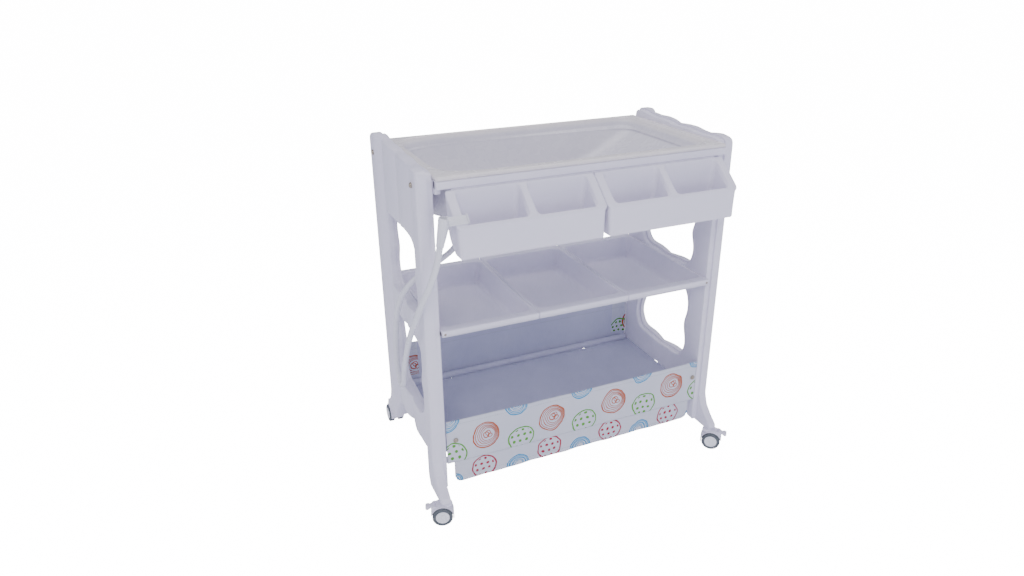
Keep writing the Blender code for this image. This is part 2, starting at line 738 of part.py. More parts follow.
def draft(block, middle, slope):
    """Draw the ends of a block along X in towards its middle, below the top by slope."""
    for vertex in block.data.vertices:
        place = block.matrix_world @ vertex.co
        if place.z < ORGANISER_TOP:
            place.x += math.copysign((ORGANISER_TOP - place.z) * slope, middle - place.x)
            vertex.co = block.matrix_world.inverted() @ place


# Shelf


def build_shelf_tray(name, low_x, high_x):
    """A flanged tray: the flange runs over the rails and turns down in front and behind."""
    sheet, rim = TRAY_SHEET, TRAY_RIM
    back = SHELF_DEPTH - 0.010
    flange = prism(name, [[
        (-SHELF_DEPTH, SHELF_TOP - SHELF_LIP), (-SHELF_DEPTH, SHELF_TOP - 0.002),
        (-SHELF_DEPTH + 0.002, SHELF_TOP), (back - 0.002, SHELF_TOP), (back, SHELF_TOP - 0.002),
        (back, SHELF_TOP - SHELF_LIP), (back - sheet, SHELF_TOP - SHELF_LIP),
        (back - sheet, SHELF_TOP - sheet), (-SHELF_DEPTH + sheet, SHELF_TOP - sheet),
        (-SHELF_DEPTH + sheet, SHELF_TOP - SHELF_LIP),
    ]], low_x + GAP, high_x - GAP, "X")
    hull = tapered_box(
        name + "_hull", (low_x + rim - sheet, TRAY_FRONT - sheet, TRAY_FLOOR - sheet),
        (high_x - rim + sheet, TRAY_REAR + sheet, SHELF_TOP - 0.001), TRAY_TAPER, TRAY_FRONT_TAPER,
    )
    hollow = tapered_box(
        name + "_hollow", (low_x + rim, TRAY_FRONT, TRAY_FLOOR),
        (high_x - rim, TRAY_REAR, SHELF_TOP + 0.001), TRAY_TAPER, TRAY_FRONT_TAPER,
    )
    cut(unite(flange, hull), hollow)


def build_shelf():
    reach = INNER_X
    build_shelf_tray("shelf_tray_left", -reach, -SHELF_SEAM)
    build_shelf_tray("shelf_tray_middle", -SHELF_SEAM, SHELF_SEAM)
    build_shelf_tray("shelf_tray_right", SHELF_SEAM, reach)


# Basket


def build_basket():
    """A padded floor between two rails, a front apron with a skirt, and a back wall."""
    floor_low = (-BASKET_HALF, FLOOR_FRONT, FLOOR_TOP - FLOOR_THICKNESS)
    box("basket_floor", floor_low, (BASKET_HALF, FLOOR_REAR, FLOOR_TOP), "lining")
    near, far = -BASKET_Y - CLOTH, -BASKET_Y
    box("basket_front_apron", (-APRON_HALF, near, SEAM_Z), (APRON_HALF, far, APRON_TOP), "cloth")
    half, top, corner = SKIRT_HALF, SEAM_Z - GAP, SKIRT_CORNER
    prism("basket_front_skirt", [[
        (-half, top), (-half, SKIRT_BOTTOM + corner), (-half + 0.005, SKIRT_BOTTOM + 0.005),
        (-half + corner, SKIRT_BOTTOM), (half - corner, SKIRT_BOTTOM),
        (half - 0.005, SKIRT_BOTTOM + 0.005), (half, SKIRT_BOTTOM + corner), (half, top),
    ]], near, far, "Y", "cloth")
    back_low = (-APRON_HALF, BACK_Y, BACK_BOTTOM)
    box("basket_back_wall", back_low, (APRON_HALF, BACK_Y + CLOTH, BACK_TOP), "lining")
    for side, (x, z) in STUDS.items():
        place = Matrix.Translation((x, near - GAP, z)) @ Matrix.Rotation(math.pi / 2, 4, "X")
        rod("press_stud_" + side, [(0.0062, 0.0), (0.0062, 0.0014), (0.0040, 0.0024)], 10, place)


# Castors


def arc(radius, start, end, steps, centre):
    """Points on an arc in the XZ plane, angles in degrees up from +X."""
    points = []
    for step in range(steps + 1):
        turn = math.radians(start + (end - start) * step / steps)
        points.append((centre[0] + radius * math.cos(turn), centre[1] + radius * math.sin(turn)))
    return points


def build_castor(corner, sign, end):
    """Hood with its stem, axle, two wheels of tyre and hub, and a brake pedal."""
    heading = math.radians(TRAIL_HEADINGS[corner])
    spot = Matrix.Translation((sign * CASTOR_X, end * CASTOR_Y, 0.0))
    place = spot @ Matrix.Rotation(heading, 4, "Z")
    name = "castor_" + corner
    axle = (TRAIL, WHEEL_RADIUS)
    build_hood(name + "_hood", place, axle)
    cylinder(name + "_axle", AXLE_RADIUS, -AXLE_HALF, AXLE_HALF, "Y", axle, "steel", 10, place)
    for letter, side in (("a", -1), ("b", 1)):
        build_wheel(name, letter, side, place, axle)
    build_pedal(name + "_brake_pedal", place)


def build_hood(name, place, axle):
    """A cover over both wheels, a web between them, and a collar with the stem on the swivel axis."""
    start, end = HOOD_START, HOOD_END
    cover = arc(HOOD_OUTER, start, end, 9, axle) + arc(HOOD_INNER, end, start, 9, axle)
    hood = prism(name, [cover], -HOOD_HALF_WIDTH, HOOD_HALF_WIDTH, "Y", "white", place)
    web_half = WHEEL_OFFSET - WHEEL_WIDTH / 2 - 0.0010
    nose = [(-0.012, 0.024), (0.003, 0.014)]
    web_outline = arc(HOOD_OUTER - 0.001, start, end - 24, 7, axle) + nose
    web = prism(name + "_web", [web_outline], -web_half, web_half, "Y", "white", place)
    upright = {"axis": "Z", "sides": 12, "place": place}
    sole = FOOT_Z - FRAME_DROP
    collar = cylinder(name + "_collar", COLLAR_RADIUS, COLLAR_BOTTOM, sole - GAP, **upright)
    stem = cylinder(name + "_stem", STEM_RADIUS, 0.036, sole + STEM_LENGTH, **upright)
    hole = cylinder(name + "_axle_hole", AXLE_RADIUS + GAP, -0.01, 0.01, "Y", axle, sides=10, place=place)
    cut(unite(hood, web, collar, stem), hole)


def build_wheel(name, letter, side, place, axle):
    centre = Matrix.Translation((axle[0], side * WHEEL_OFFSET, axle[1]))
    lay_down = Matrix.Rotation(-side * math.pi / 2, 4, "X") @ Matrix.Rotation(math.pi / 2, 4, "Z")
    across = place @ centre @ lay_down
    half = WHEEL_WIDTH / 2
    turned(name + "_tyre_" + letter, [
        (0.0225, half), (WHEEL_RADIUS, half - 0.003), (WHEEL_RADIUS, -half + 0.003), (0.0225, -half),
        (HUB_RADIUS, -half), (HUB_RADIUS, half),
    ], 20, "tread", across)
    rim, bore = HUB_RADIUS - GAP, AXLE_RADIUS + 0.0004
    profile = [(rim, half), (rim, -half), (bore, -half), (bore, half)]
    turned(name + "_hub_" + letter, profile, 16, "white", across)


def build_pedal(name, place):
    x, z = PEDAL_PIVOT.x, PEDAL_PIVOT.z
    outline = [
        (x - 0.003, z - 0.0015), (x - 0.003, z + 0.002), (x + 0.001, z + 0.0035),
        (PEDAL_REACH - 0.003, z + 0.0010), (PEDAL_REACH, z - 0.004), (PEDAL_REACH - 0.002, z - 0.005),
        (x + 0.004, z - 0.0005), (x, z - 0.003),
    ]
    prism(name, [outline], -PEDAL_HALF_WIDTH, PEDAL_HALF_WIDTH, "Y", "white", place)


def build_castors():
    for corner in TRAIL_HEADINGS:
        end = -1 if corner.startswith("front") else 1
        sign = -1 if corner.endswith("left") else 1
        build_castor(corner, sign, end)


def lower_frame():
    """Set everything but the castors down by the drop, cutters with the pieces they cut."""
    for thing in [*PARTS.objects, *CUTTERS.objects]:
        if not thing.name.startswith("castor_"):
            thing.location.z -= FRAME_DROP


build_side_panel("left", -1)
build_side_panel("right", 1)
build_rails()
build_bolts()
build_bath()
build_drain()
build_hose()
build_clip()
build_organiser("organiser_left", -1)
build_organiser("organiser_right", 1)
build_shelf()
build_basket()
build_castors()
lower_frame()
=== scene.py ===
import json
import math

import bmesh
import bpy
import numpy as np
from mathutils import Matrix, Vector
from mathutils.geometry import delaunay_2d_cdt


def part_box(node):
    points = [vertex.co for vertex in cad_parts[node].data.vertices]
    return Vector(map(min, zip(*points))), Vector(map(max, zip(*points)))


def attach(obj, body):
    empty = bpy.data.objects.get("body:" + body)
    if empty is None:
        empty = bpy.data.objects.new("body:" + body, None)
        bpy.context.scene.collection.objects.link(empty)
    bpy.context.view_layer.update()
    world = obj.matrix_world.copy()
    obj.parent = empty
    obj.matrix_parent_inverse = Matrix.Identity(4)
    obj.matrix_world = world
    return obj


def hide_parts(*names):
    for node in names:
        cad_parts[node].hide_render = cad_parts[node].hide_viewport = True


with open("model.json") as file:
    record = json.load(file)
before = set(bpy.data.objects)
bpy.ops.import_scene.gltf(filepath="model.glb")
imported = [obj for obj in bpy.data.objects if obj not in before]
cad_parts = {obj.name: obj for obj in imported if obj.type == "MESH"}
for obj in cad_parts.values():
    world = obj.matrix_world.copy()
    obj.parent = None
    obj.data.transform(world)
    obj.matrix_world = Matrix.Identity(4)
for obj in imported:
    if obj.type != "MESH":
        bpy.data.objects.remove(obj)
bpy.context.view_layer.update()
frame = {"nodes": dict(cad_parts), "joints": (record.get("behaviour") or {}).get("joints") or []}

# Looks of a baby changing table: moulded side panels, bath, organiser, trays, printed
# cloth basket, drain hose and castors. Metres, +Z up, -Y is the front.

GAP = 0.0003  # clearance between pieces that touch
FRAME_DROP = 0.011  # heights of the frame are drawn this much high; it is lowered onto the castors

SIDES = (("left", -1), ("right", 1))

# Side panels
SPLIT_X, INNER_X = 0.3755, 0.362
PANEL_DEPTH, PANEL_TOP = 0.195, 0.872
TOP_EDGE = (  # depth and rise over PANEL_TOP along the panels' top, from front to back
    (-0.195, -0.022), (-0.1925, -0.0105), (-0.184, -0.0045), (-0.156, -0.001), (-0.124, -0.003),
    (-0.096, -0.0035), (-0.062, 0.0), (-0.028, 0.0), (0.0, -0.0015), (0.028, 0.0025),
    (0.062, 0.0045), (0.096, 0.003), (0.124, 0.0065), (0.156, 0.0115), (0.182, 0.01),
    (0.192, 0.0035), (0.195, -0.01),
)
FOOT_Z, FOOT_REACH, FOOT_HEEL = 0.068, 0.25, 0.14
SKIRT_Z = 0.152
HALF_WIDTH = 0.4
RIDGE_WIDTH, RIDGE_BASE_X, RIDGE_RISE, POST_BEND = 0.125, 0.386, 0.008, 0.035
WINDOWS = ((0.507, 0.705), (0.232, 0.446))
INNER_SETBACK = 0.005

# Bath
RIM_TOP = 0.86
BATH_FRONT, BATH_BACK = -0.214, 0.2
BATH_FLOOR, BATH_WALL = 0.728, 0.0028
DRAIN_X, DRAIN_RADIUS, DRAIN_FLANGE, NUT_RADIUS = -0.235, 0.0125, 0.015, 0.023
RAIL_TOP, RAIL_HEIGHT = 0.851, 0.018

# Organiser
ORGANISER_FRONT, ORGANISER_BACK = -0.29, -0.2148
ORGANISER_HALF = 0.347
ORGANISER_TOP, ORGANISER_LIP, ORGANISER_FLOOR = 0.8328, 0.773, 0.702
ORGANISER_EDGE, WELL_EDGE, WELL_FLOOR = 0.0035, 0.0025, ORGANISER_FLOOR + 0.004
WELL_OFFSET, WELL_HALF, WELL_MARGIN = 0.0805, 0.0725, 0.0055
UNDERCUT_TOP = 0.752  # the rear walls lean forward below this height

# Shelf
SHELF_TOP, SHELF_LIP, SHELF_DEPTH = 0.506, 0.015, 0.203
SHELF_SEAM, SHELF_SCREW_X = 0.121, 0.3545
TRAY_FLOOR, TRAY_EDGE, TRAY_MARGIN, TRAY_WALL = 0.447, 0.0035, 0.0085, 0.0022
TRAY_FRONT, TRAY_REAR, TRAY_FRONT_LEAN = -0.1785, 0.17, 0.056

# Rails and fasteners
FRONT_RAIL_DEPTH, REAR_RAIL_DEPTH = 0.022, 0.008
LUG_THICKNESS, LUG_DROP, LUG_Y = 0.012, 0.03, 0.149
FLANGE_X, FLANGE_Z, FLANGE_DEPTH = 0.33, 0.8, 0.003
BOLT_Y, BOLT_Z = 0.163, 0.837

# Basket
CLOTH_THICKNESS, HEM_WIDTH = 0.0014, 0.013
WALL_RISE = 0.012  # the back wall reaches this much higher than the frame's
WALL_TURN, PAD_TURN = 0.0075, 0.009  # how far the back wall's ends turn forward, and the floor's up
SKIRT_CORNER, SKIRT_DROP = 0.02, 0.006  # the skirt hangs lower towards -X by its drop

# Castors
WHEEL_RADIUS, WHEEL_WIDTH, WHEEL_OFFSET, TRAIL = 0.025, 0.015, 0.0128, 0.013
COVER_OUTER, COVER_INNER, COVER_HALF = 0.0284, 0.0262, 0.017
WEB_RADIUS, WEB_HALF = 0.0274, 0.0042
EAR_RADIUS, EAR_NEAR, EAR_FAR = 0.0268, 0.0095, 0.012
PEDAL_X, PEDAL_Z, PEDAL_REACH, PEDAL_HALF = 0.0335, 0.049, 0.054, 0.0085

# Hose: the middle of its route, from the drain to the clip
HOSE_RADIUS = 0.007
HOSE_ROUTE = [
    (DRAIN_X, 0.0, 0.6935), (DRAIN_X, 0.0, 0.675), (-0.244, -0.01, 0.65),
    (-0.275, -0.04, 0.633), (-0.32, -0.074, 0.624), (-0.36, -0.092, 0.612),
    (-0.392, -0.092, 0.59), (-0.412, -0.074, 0.555), (-0.419, -0.045, 0.506),
    (-0.42, -0.018, 0.445), (-0.42, -0.002, 0.386), (-0.42, 0.002, 0.338),
    (-0.42, -0.0055, 0.308), (-0.42, -0.029, 0.293), (-0.42, -0.0525, 0.308),
    (-0.42, -0.064, 0.342), (-0.42, -0.09, 0.396), (-0.42, -0.122, 0.448),
    (-0.42, -0.158, 0.496), (-0.418, -0.195, 0.543), (-0.411, -0.226, 0.592),
    (-0.396, -0.247, 0.642), (-0.382, -0.255, 0.688), (-0.374, -0.2565, 0.727),
]


# Node trees


class Value:
    """The output of a node; arithmetic on it adds nodes."""

    def __init__(self, graph, socket):
        self.graph, self.socket = graph, socket

    def __add__(self, other):
        return self.graph.calc("ADD", self, other)

    def __sub__(self, other):
        return self.graph.calc("SUBTRACT", self, other)

    def __mul__(self, other):
        return self.graph.calc("MULTIPLY", self, other)

    def __truediv__(self, other):
        return self.graph.calc("DIVIDE", self, other)


class Graph:
    """A material's node tree, with short calls that add a node and give its output."""

    def __init__(self, name):
        self.material = bpy.data.materials.new(name)
        self.material.use_nodes = True
        self.tree = self.material.node_tree
        self.shader = self.tree.nodes["Principled BSDF"]
        self.place = self.output("ShaderNodeTexCoord", "Object")

    def add(self, kind, inputs=(), **settings):
        node = self.tree.nodes.new(kind)
        for key, value in settings.items():
            setattr(node, key, value)
        for key, value in inputs.items() if isinstance(inputs, dict) else enumerate(inputs):
            self.feed(node.inputs[key], value)
        return node

    def feed(self, socket, value):
        if isinstance(value, Value):
            self.tree.links.new(value.socket, socket)
        else:
            socket.default_value = value

    def output(self, kind, key, inputs=(), **settings):
        return Value(self, self.add(kind, inputs, **settings).outputs[key])

    def calc(self, operation, *values):
        return self.output("ShaderNodeMath", 0, values, operation=operation)

    def noise(self, scale, detail=2.0, place=None, stretch=None):
        spot = self.place if place is None else place
        if stretch is not None:
            spot = self.output("ShaderNodeMapping", 0, {"Vector": spot, "Scale": stretch})
        return self.output("ShaderNodeTexNoise", "Fac", {"Vector": spot, "Scale": scale, "Detail": detail})

    def spread(self, value, low, high, start=0.35, stop=0.65):
        """A value between start and stop spread between low and high."""
        inputs = {"Value": value, "From Min": start, "From Max": stop, "To Min": low, "To Max": high}
        return self.output("ShaderNodeMapRange", "Result", inputs)

    def mix(self, factor, first, second):
        node = self.add("ShaderNodeMix", {"Factor": factor}, data_type="RGBA")
        for key, colour in (("A", first), ("B", second)):
            socket = [s for s in node.inputs if s.name == key and s.type == "RGBA"][0]
            self.feed(socket, colour if isinstance(colour, Value) else (*colour, 1.0))
        return Value(self, [s for s in node.outputs if s.type == "RGBA"][0])

    def cloudy(self, scale, detail, first, second):
        """Two colours in soft clouds."""
        return self.mix(self.spread(self.noise(scale, detail), 0.0, 1.0), first, second)

    def bump(self, height, distance, strength=1.0, normal=None):
        inputs = {"Height": height, "Distance": distance, "Strength": strength}
        if normal is not None:
            inputs["Normal"] = normal
        return self.output("ShaderNodeBump", "Normal", inputs)

    def finish(self, colour, roughness, normal=None, **constants):
        self.feed(self.shader.inputs["Base Color"], colour)
        self.feed(self.shader.inputs["Roughness"], roughness)
        if normal is not None:
            self.feed(self.shader.inputs["Normal"], normal)
        for name, value in constants.items():
            self.shader.inputs[name.replace("_", " ")].default_value = value
        return self.material


def moulded_plastic(name, colour, tint, roughness):
    """Injection-moulded plastic: faint cloudiness, uneven gloss, fine grain and flow marks."""
    graph = Graph(name)
    shade = graph.cloudy(7.0, 3.0, colour, tint)
    scuffs = graph.spread(graph.noise(38.0, 5.0, stretch=(1.0, 1.0, 0.35)), 0.0, 1.0, 0.45, 0.7)
    gloss = graph.spread(scuffs, roughness - 0.04, roughness + 0.08, 0.0, 1.0)
    fine = graph.bump(graph.noise(900.0, 2.0), 0.00004)
    waves = graph.bump(graph.noise(16.0, 1.0), 0.0006, 0.35, fine)
    return graph.finish(shade, gloss, waves, Specular_IOR_Level=0.45)


def bath_plastic():
    """Glossy plastic with painted light and shade: the rim painted warmer and lighter as painted light, the
    basin painted cooler and darker as painted shade.
    """
    graph = Graph("bath_plastic_with_painted_light")
    height = graph.output("ShaderNodeSeparateXYZ", "Z", [graph.place])
    # Painted shade: the basin's colour is darker and cooler than the rim's.
    basin = graph.cloudy(7.0, 3.0, (0.73, 0.705, 0.77), (0.69, 0.67, 0.75))
    # Painted light: the rim's colour is warmer and lighter than the basin's.
    rim = graph.cloudy(7.0, 3.0, (0.85, 0.8, 0.8), (0.81, 0.77, 0.785))
    # Blends the basin's painted shade into the rim's painted light by height.
    shade = graph.mix(graph.spread(height, 0.0, 1.0, RIM_TOP - 0.014, RIM_TOP - 0.004), basin, rim)
    gloss = graph.spread(graph.noise(30.0, 4.0), 0.2, 0.32)
    waves = graph.bump(graph.noise(12.0, 1.0), 0.0008, 0.4)
    return graph.finish(shade, gloss, waves, Specular_IOR_Level=0.5)


def rubber(name, colour, tint):
    graph = Graph(name)
    shade = graph.cloudy(120.0, 4.0, colour, tint)
    scuffs = graph.spread(graph.noise(260.0, 3.0), 0.5, 0.68)
    return graph.finish(shade, scuffs, graph.bump(graph.noise(700.0, 3.0), 0.00008))


def plated_steel(name, colour, tint):
    graph = Graph(name)
    shade = graph.cloudy(300.0, 4.0, colour, tint)
    gloss = graph.spread(graph.noise(420.0, 3.0), 0.26, 0.46)
    return graph.finish(shade, gloss, graph.bump(graph.noise(900.0, 2.0), 0.00003), Metallic=1.0)


class Cloth(Graph):
    """Woven cloth with an optional print of hand-drawn rings and dots, in object space."""

    def __init__(self, name, colour, tint):
        super().__init__(name)
        parts = self.add("ShaderNodeSeparateXYZ", [self.place]).outputs
        self.x, self.y, self.z = (Value(self, part) for part in parts)
        self.shade = self.cloudy(9.0, 3.0, colour, tint)
        shifted = self.output("ShaderNodeMapping", 0, {"Vector": self.place, "Location": (3.1, 1.7, 5.3)})
        self.wx = self.x + (self.noise(34.0, 1.0) - 0.5) * 0.01
        self.wz = self.z + (self.noise(34.0, 1.0, shifted) - 0.5) * 0.01

    def repeated(self, value, pitch, start):
        """Distance from the middle of the step that a value falls in."""
        return (self.calc("FRACT", value / pitch + start) - 0.5) * pitch

    def local(self, centre_x, centre_z, pitch):
        """Coordinates about the nearest of a row of motifs."""
        height = self.wz - centre_z - (self.x - 0.1) * PRINT_SLANT
        return self.repeated(self.wx - centre_x, pitch, 10.5), height

    def radius(self, x, z, offset_x=0.0, offset_z=0.0, squash=1.0):
        dx, dz = x - offset_x, (z - offset_z) * squash
        return self.calc("SQRT", dx * dx + dz * dz)

    def line(self, distance, radius, width):
        """1 on a ring of the given radius and line width, 0 away from it."""
        away = self.calc("ABSOLUTE", distance - radius)
        return self.spread(away, 1.0, 0.0, width / 2, width / 2 + 0.0005)

    def disc(self, distance, radius):
        """1 inside a circle, 0 outside it."""
        return self.spread(distance, 1.0, 0.0, radius, radius + 0.0006)

    def rings(self, x, z, rings):
        """Several rings, each (radius, line width, offset x, offset z, squash)."""
        mask = None
        for radius, width, *where in rings:
            ring_mask = self.line(self.radius(x, z, *where), radius, width)
            mask = ring_mask if mask is None else self.calc("MAXIMUM", mask, ring_mask)
        return mask

    def dots(self, x, z, pitch, radius, edge):
        """Staggered dots inside a circle of radius edge."""
        shifted = x + self.calc("FLOOR", z / pitch) * (0.36 * pitch)
        away = self.radius(self.repeated(shifted, pitch, 20.0), self.repeated(z, pitch, 20.0))
        return self.disc(away, radius) * self.disc(self.radius(x, z), edge)

    def line_inside(self):
        """Lilac lining on the side that faces the basket's inside."""
        normal = self.output("ShaderNodeTexCoord", "Normal")
        inside = self.calc("GREATER_THAN", self.output("ShaderNodeSeparateXYZ", "Y", [normal]), 0.3)
        self.shade = self.mix(inside, self.shade, LILAC)

    def ink(self, mask, colour):
        worn = self.spread(self.noise(420.0, 2.0), 0.93, 1.0, 0.3, 0.55)
        self.shade = self.mix(mask * worn, self.shade, colour)

    def weave(self, pitch, depth, coarse, roughness=0.82, sheen=0.15):
        """Plain weave: threads over and under, in both directions."""
        turns = 2 * math.pi / pitch
        across = self.calc("SINE", self.x * turns)
        along = self.calc("SINE", (self.z + self.y) * turns)
        fine = self.bump(across * along, depth)
        soft = self.bump(self.noise(22.0, 3.0), coarse, 0.6, fine)
        uneven = self.spread(self.noise(300.0, 2.0), roughness - 0.06, roughness + 0.06)
        return self.finish(self.shade, uneven, soft, Sheen_Weight=sheen, Specular_IOR_Level=0.25)


def stitched(cloth, height, pitch=0.0048):
    """A row of stitches along X at a height: dashes a shade darker than the cloth."""
    row = cloth.spread(cloth.calc("ABSOLUTE", cloth.z - height), 1.0, 0.0, 0.0004, 0.0008)
    dash = cloth.calc("GREATER_THAN", cloth.calc("FRACT", (cloth.x + 1.0) / pitch), 0.3)
    cloth.shade = cloth.mix(row * dash, cloth.shade, (0.46, 0.48, 0.56))


BLUE_RINGS = (  # radius, line width, offset x, offset z, squash
    (0.029, 0.0028, 0.0, 0.0, 1.0), (0.025, 0.0014, 0.0006, 0.0004, 1.0),
    (0.0215, 0.0015, -0.0008, 0.0012, 1.04), (0.018, 0.0013, 0.001, 0.0022, 1.08),
    (0.014, 0.0014, -0.0006, 0.003, 1.12), (0.01, 0.0012, 0.0006, 0.0036, 1.15),
)
ORANGE_RINGS = (
    (0.0345, 0.003, 0.0, 0.0, 0.97), (0.0303, 0.0014, 0.0012, 0.0004, 0.97),
    (0.0262, 0.0014, 0.003, 0.0012, 1.0), (0.0224, 0.0013, 0.0046, 0.002, 1.0),
    (0.0188, 0.0013, 0.006, 0.0026, 1.02),
    (0.0078, 0.002, 0.001, 0.0026, 0.9), (0.006, 0.0018, 0.0112, -0.0012, 1.1),
    (0.0068, 0.0016, 0.0066, 0.0074, 1.0),
)
PRINT_PITCH, PRINT_SLANT = 0.18, 0.0126
PRINT_BLUE, PRINT_PALE_BLUE, PRINT_ORANGE = (0.03, 0.27, 0.52), (0.36, 0.56, 0.76), (0.42, 0.075, 0.012)
PRINT_GREEN, PRINT_CRIMSON = (0.09, 0.34, 0.03), (0.36, 0.008, 0.035)
CLOTH_WHITE, CLOTH_TINT = (0.66, 0.67, 0.75), (0.62, 0.635, 0.73)
LILAC, LILAC_TINT = (0.44, 0.45, 0.6), (0.41, 0.42, 0.57)


def print_blue(cloth, x, z):
    place = cloth.local(x, z, PRINT_PITCH)
    wash = cloth.line(cloth.radius(*place), 0.0232, 0.0075)
    cloth.ink(wash * 0.5, PRINT_PALE_BLUE)
    cloth.ink(cloth.rings(*place, BLUE_RINGS), PRINT_BLUE)


def print_orange(cloth, x, z):
    cloth.ink(cloth.rings(*cloth.local(x, z, PRINT_PITCH), ORANGE_RINGS), PRINT_ORANGE)


def print_dotted(cloth, x, z, radius, pitch, dot, colour):
    place = cloth.local(x, z, PRINT_PITCH)
    outline = cloth.rings(*place, [(radius, 0.0033, 0.0, 0.0, 1.02)])
    cloth.ink(cloth.calc("MAXIMUM", outline, cloth.dots(*place, pitch, dot, radius - 0.005)), colour)


def apron_cloth():
    cloth = Cloth("printed_apron_cloth", CLOTH_WHITE, CLOTH_TINT)
    print_blue(cloth, 0.003, 0.2665)
    print_orange(cloth, 0.1005, 0.201)
    print_dotted(cloth, 0.0145, 0.1655, 0.0342, 0.0172, 0.004, PRINT_GREEN)
    stitched(cloth, 0.248)
    cloth.line_inside()
    return cloth.weave(0.0011, 0.00006, 0.0012)


def skirt_cloth():
    cloth = Cloth("printed_skirt_cloth", CLOTH_WHITE, CLOTH_TINT)
    print_dotted(cloth, 0.096, 0.11, 0.032, 0.0162, 0.0037, PRINT_CRIMSON)
    print_blue(cloth, 0.0065, 0.084)
    stitched(cloth, 0.0935)
    cloth.line_inside()
    return cloth.weave(0.0011, 0.00006, 0.0012)


def lining_cloth():
    cloth = Cloth("lilac_lining_cloth", LILAC, LILAC_TINT)
    return cloth.weave(0.0012, 0.00007, 0.0015, 0.74, 0.2)


def back_cloth():
    """Lilac lining, with the print showing where the front cloth wraps round its ends."""
    cloth = Cloth("lilac_back_cloth", (0.58, 0.59, 0.73), (0.54, 0.55, 0.7))
    plain = cloth.shade
    cloth.shade = cloth.cloudy(9.0, 3.0, CLOTH_WHITE, CLOTH_TINT)
    print_orange(cloth, -0.332, 0.215)
    print_dotted(cloth, 0.345, 0.19, 0.033, 0.015, 0.0035, PRINT_GREEN)
    end = cloth.calc("GREATER_THAN", cloth.calc("ABSOLUTE", cloth.x), 0.316)
    high = cloth.calc("GREATER_THAN", cloth.z, 0.182)
    cloth.shade = cloth.mix(end * high, plain, cloth.shade)
    stitched(cloth, 0.265)
    return cloth.weave(0.0012, 0.00007, 0.0015, 0.76, 0.2)


# Looks: each is a material and the slot of the record that it stands for
PLASTIC = moulded_plastic("white_moulded_plastic", (0.815, 0.785, 0.9), (0.785, 0.76, 0.885), 0.34)
WHITE = (PLASTIC, "white_plastic")
BATH = (bath_plastic(), "bath_plastic")
TREAD = (rubber("slate_rubber", (0.085, 0.1, 0.115), (0.11, 0.124, 0.14)), "tread")
STEEL = (plated_steel("dull_plated_steel", (0.34, 0.29, 0.22), (0.46, 0.41, 0.34)), "steel")
HOSE = (moulded_plastic("soft_hose_plastic", (0.8, 0.795, 0.86), (0.76, 0.76, 0.83), 0.3), "hose")
HUB = (moulded_plastic("hub_plastic", (0.95, 0.955, 1.0), (0.91, 0.92, 0.98), 0.3), "white_plastic")
APRON, SKIRT = (apron_cloth(), "printed_cloth"), (skirt_cloth(), "printed_cloth")
LINING, BACK = (lining_cloth(), "lining_cloth"), (back_cloth(), "lining_cloth")


# Outlines


def dense(loop, spacing):
    """The closed outline with points at equal steps."""
    points = np.array(loop, float)
    closed = np.vstack([points, points[:1]])
    along = np.concatenate([[0.0], np.cumsum(np.linalg.norm(np.diff(closed, axis=0), axis=1))])
    stops = np.linspace(0.0, along[-1], int(round(along[-1] / spacing)), endpoint=False)
    return np.stack([np.interp(stops, along, closed[:, axis]) for axis in range(points.shape[1])], 1)


def soften(loop, passes):
    """The closed outline with its corners rounded by averaging neighbours."""
    for _ in range(passes):
        loop = (np.roll(loop, 1, 0) + 2 * loop + np.roll(loop, -1, 0)) / 4
    return loop


def inward(loop):
    """Unit normals of a closed outline, pointing into it."""
    along = np.roll(loop, -1, 0) - np.roll(loop, 1, 0)
    along /= np.linalg.norm(along, axis=1)[:, None]
    ahead = np.roll(loop, -1, 0)
    turning = np.sum(loop[:, 0] * ahead[:, 1] - ahead[:, 0] * loop[:, 1])
    return np.stack([-along[:, 1], along[:, 0]], 1) * math.copysign(1.0, turning)


def rounded_box(low, high, radius, spacing=0.004):
    """A rectangle with round corners, as a dense closed outline."""
    steps = 8
    points = []
    for corner, (sx, sy) in enumerate(((1, 1), (-1, 1), (-1, -1), (1, -1))):
        centre = (
            (high[0] if sx > 0 else low[0]) - sx * radius,
            (high[1] if sy > 0 else low[1]) - sy * radius,
        )
        for step in range(steps + 1):
            turn = math.pi / 2 * (corner + step / steps)
            points.append((centre[0] + radius * math.cos(turn), centre[1] + radius * math.sin(turn)))
    return dense(points, spacing)


def filleted(points, radius, steps=4):
    """A closed outline of few points with each corner replaced by a small arc."""
    result = []
    count = len(points)
    for i in range(count):
        before, here, after = (Vector(points[(i + k) % count]) for k in (-1, 0, 1))
        arriving, leaving = here - before, after - here
        reach = min(radius, 0.45 * arriving.length, 0.45 * leaving.length)
        start, end = here - arriving.normalized() * reach, here + leaving.normalized() * reach
        for step in range(steps + 1):
            t = step / steps
            result.append(tuple(start * (1 - t) ** 2 + here * 2 * t * (1 - t) + end * t**2))
    return result


def clamp(value, low=0.0, high=1.0):
    return min(max(value, low), high)


def spline_point(before, start, end, after, t):
    """Catmull-Rom: t from 0 at start to 1 at end."""
    return 0.5 * (
        2 * start
        + (end - before) * t
        + (2 * before - 5 * start + 4 * end - after) * t**2
        + (3 * start - before - 3 * end + after) * t**3
    )


def through(points, spacing):
    """Points a little apart along a smooth open curve through the given points."""
    route = [Vector(point) for point in points]
    ends = [2 * route[0] - route[1]] + route + [2 * route[-1] - route[-2]]
    curve = []
    for i in range(len(route) - 1):
        steps = max(1, round((route[i + 1] - route[i]).length / spacing))
        for step in range(steps):
            curve.append(spline_point(*ends[i:i + 4], step / steps))
    return curve + [route[-1]]


def smooth_loop(points, steps=4):
    """A closed smooth curve through the points."""
    count = len(points)
    curve = []
    for i in range(count):
        near = [Vector(points[(i + k) % count]) for k in (-1, 0, 1, 2)]
        curve += [tuple(spline_point(*near, step / steps)) for step in range(steps)]
    return curve


# Making pieces


def ring(bm, points):
    return [bm.verts.new(point) for point in points]


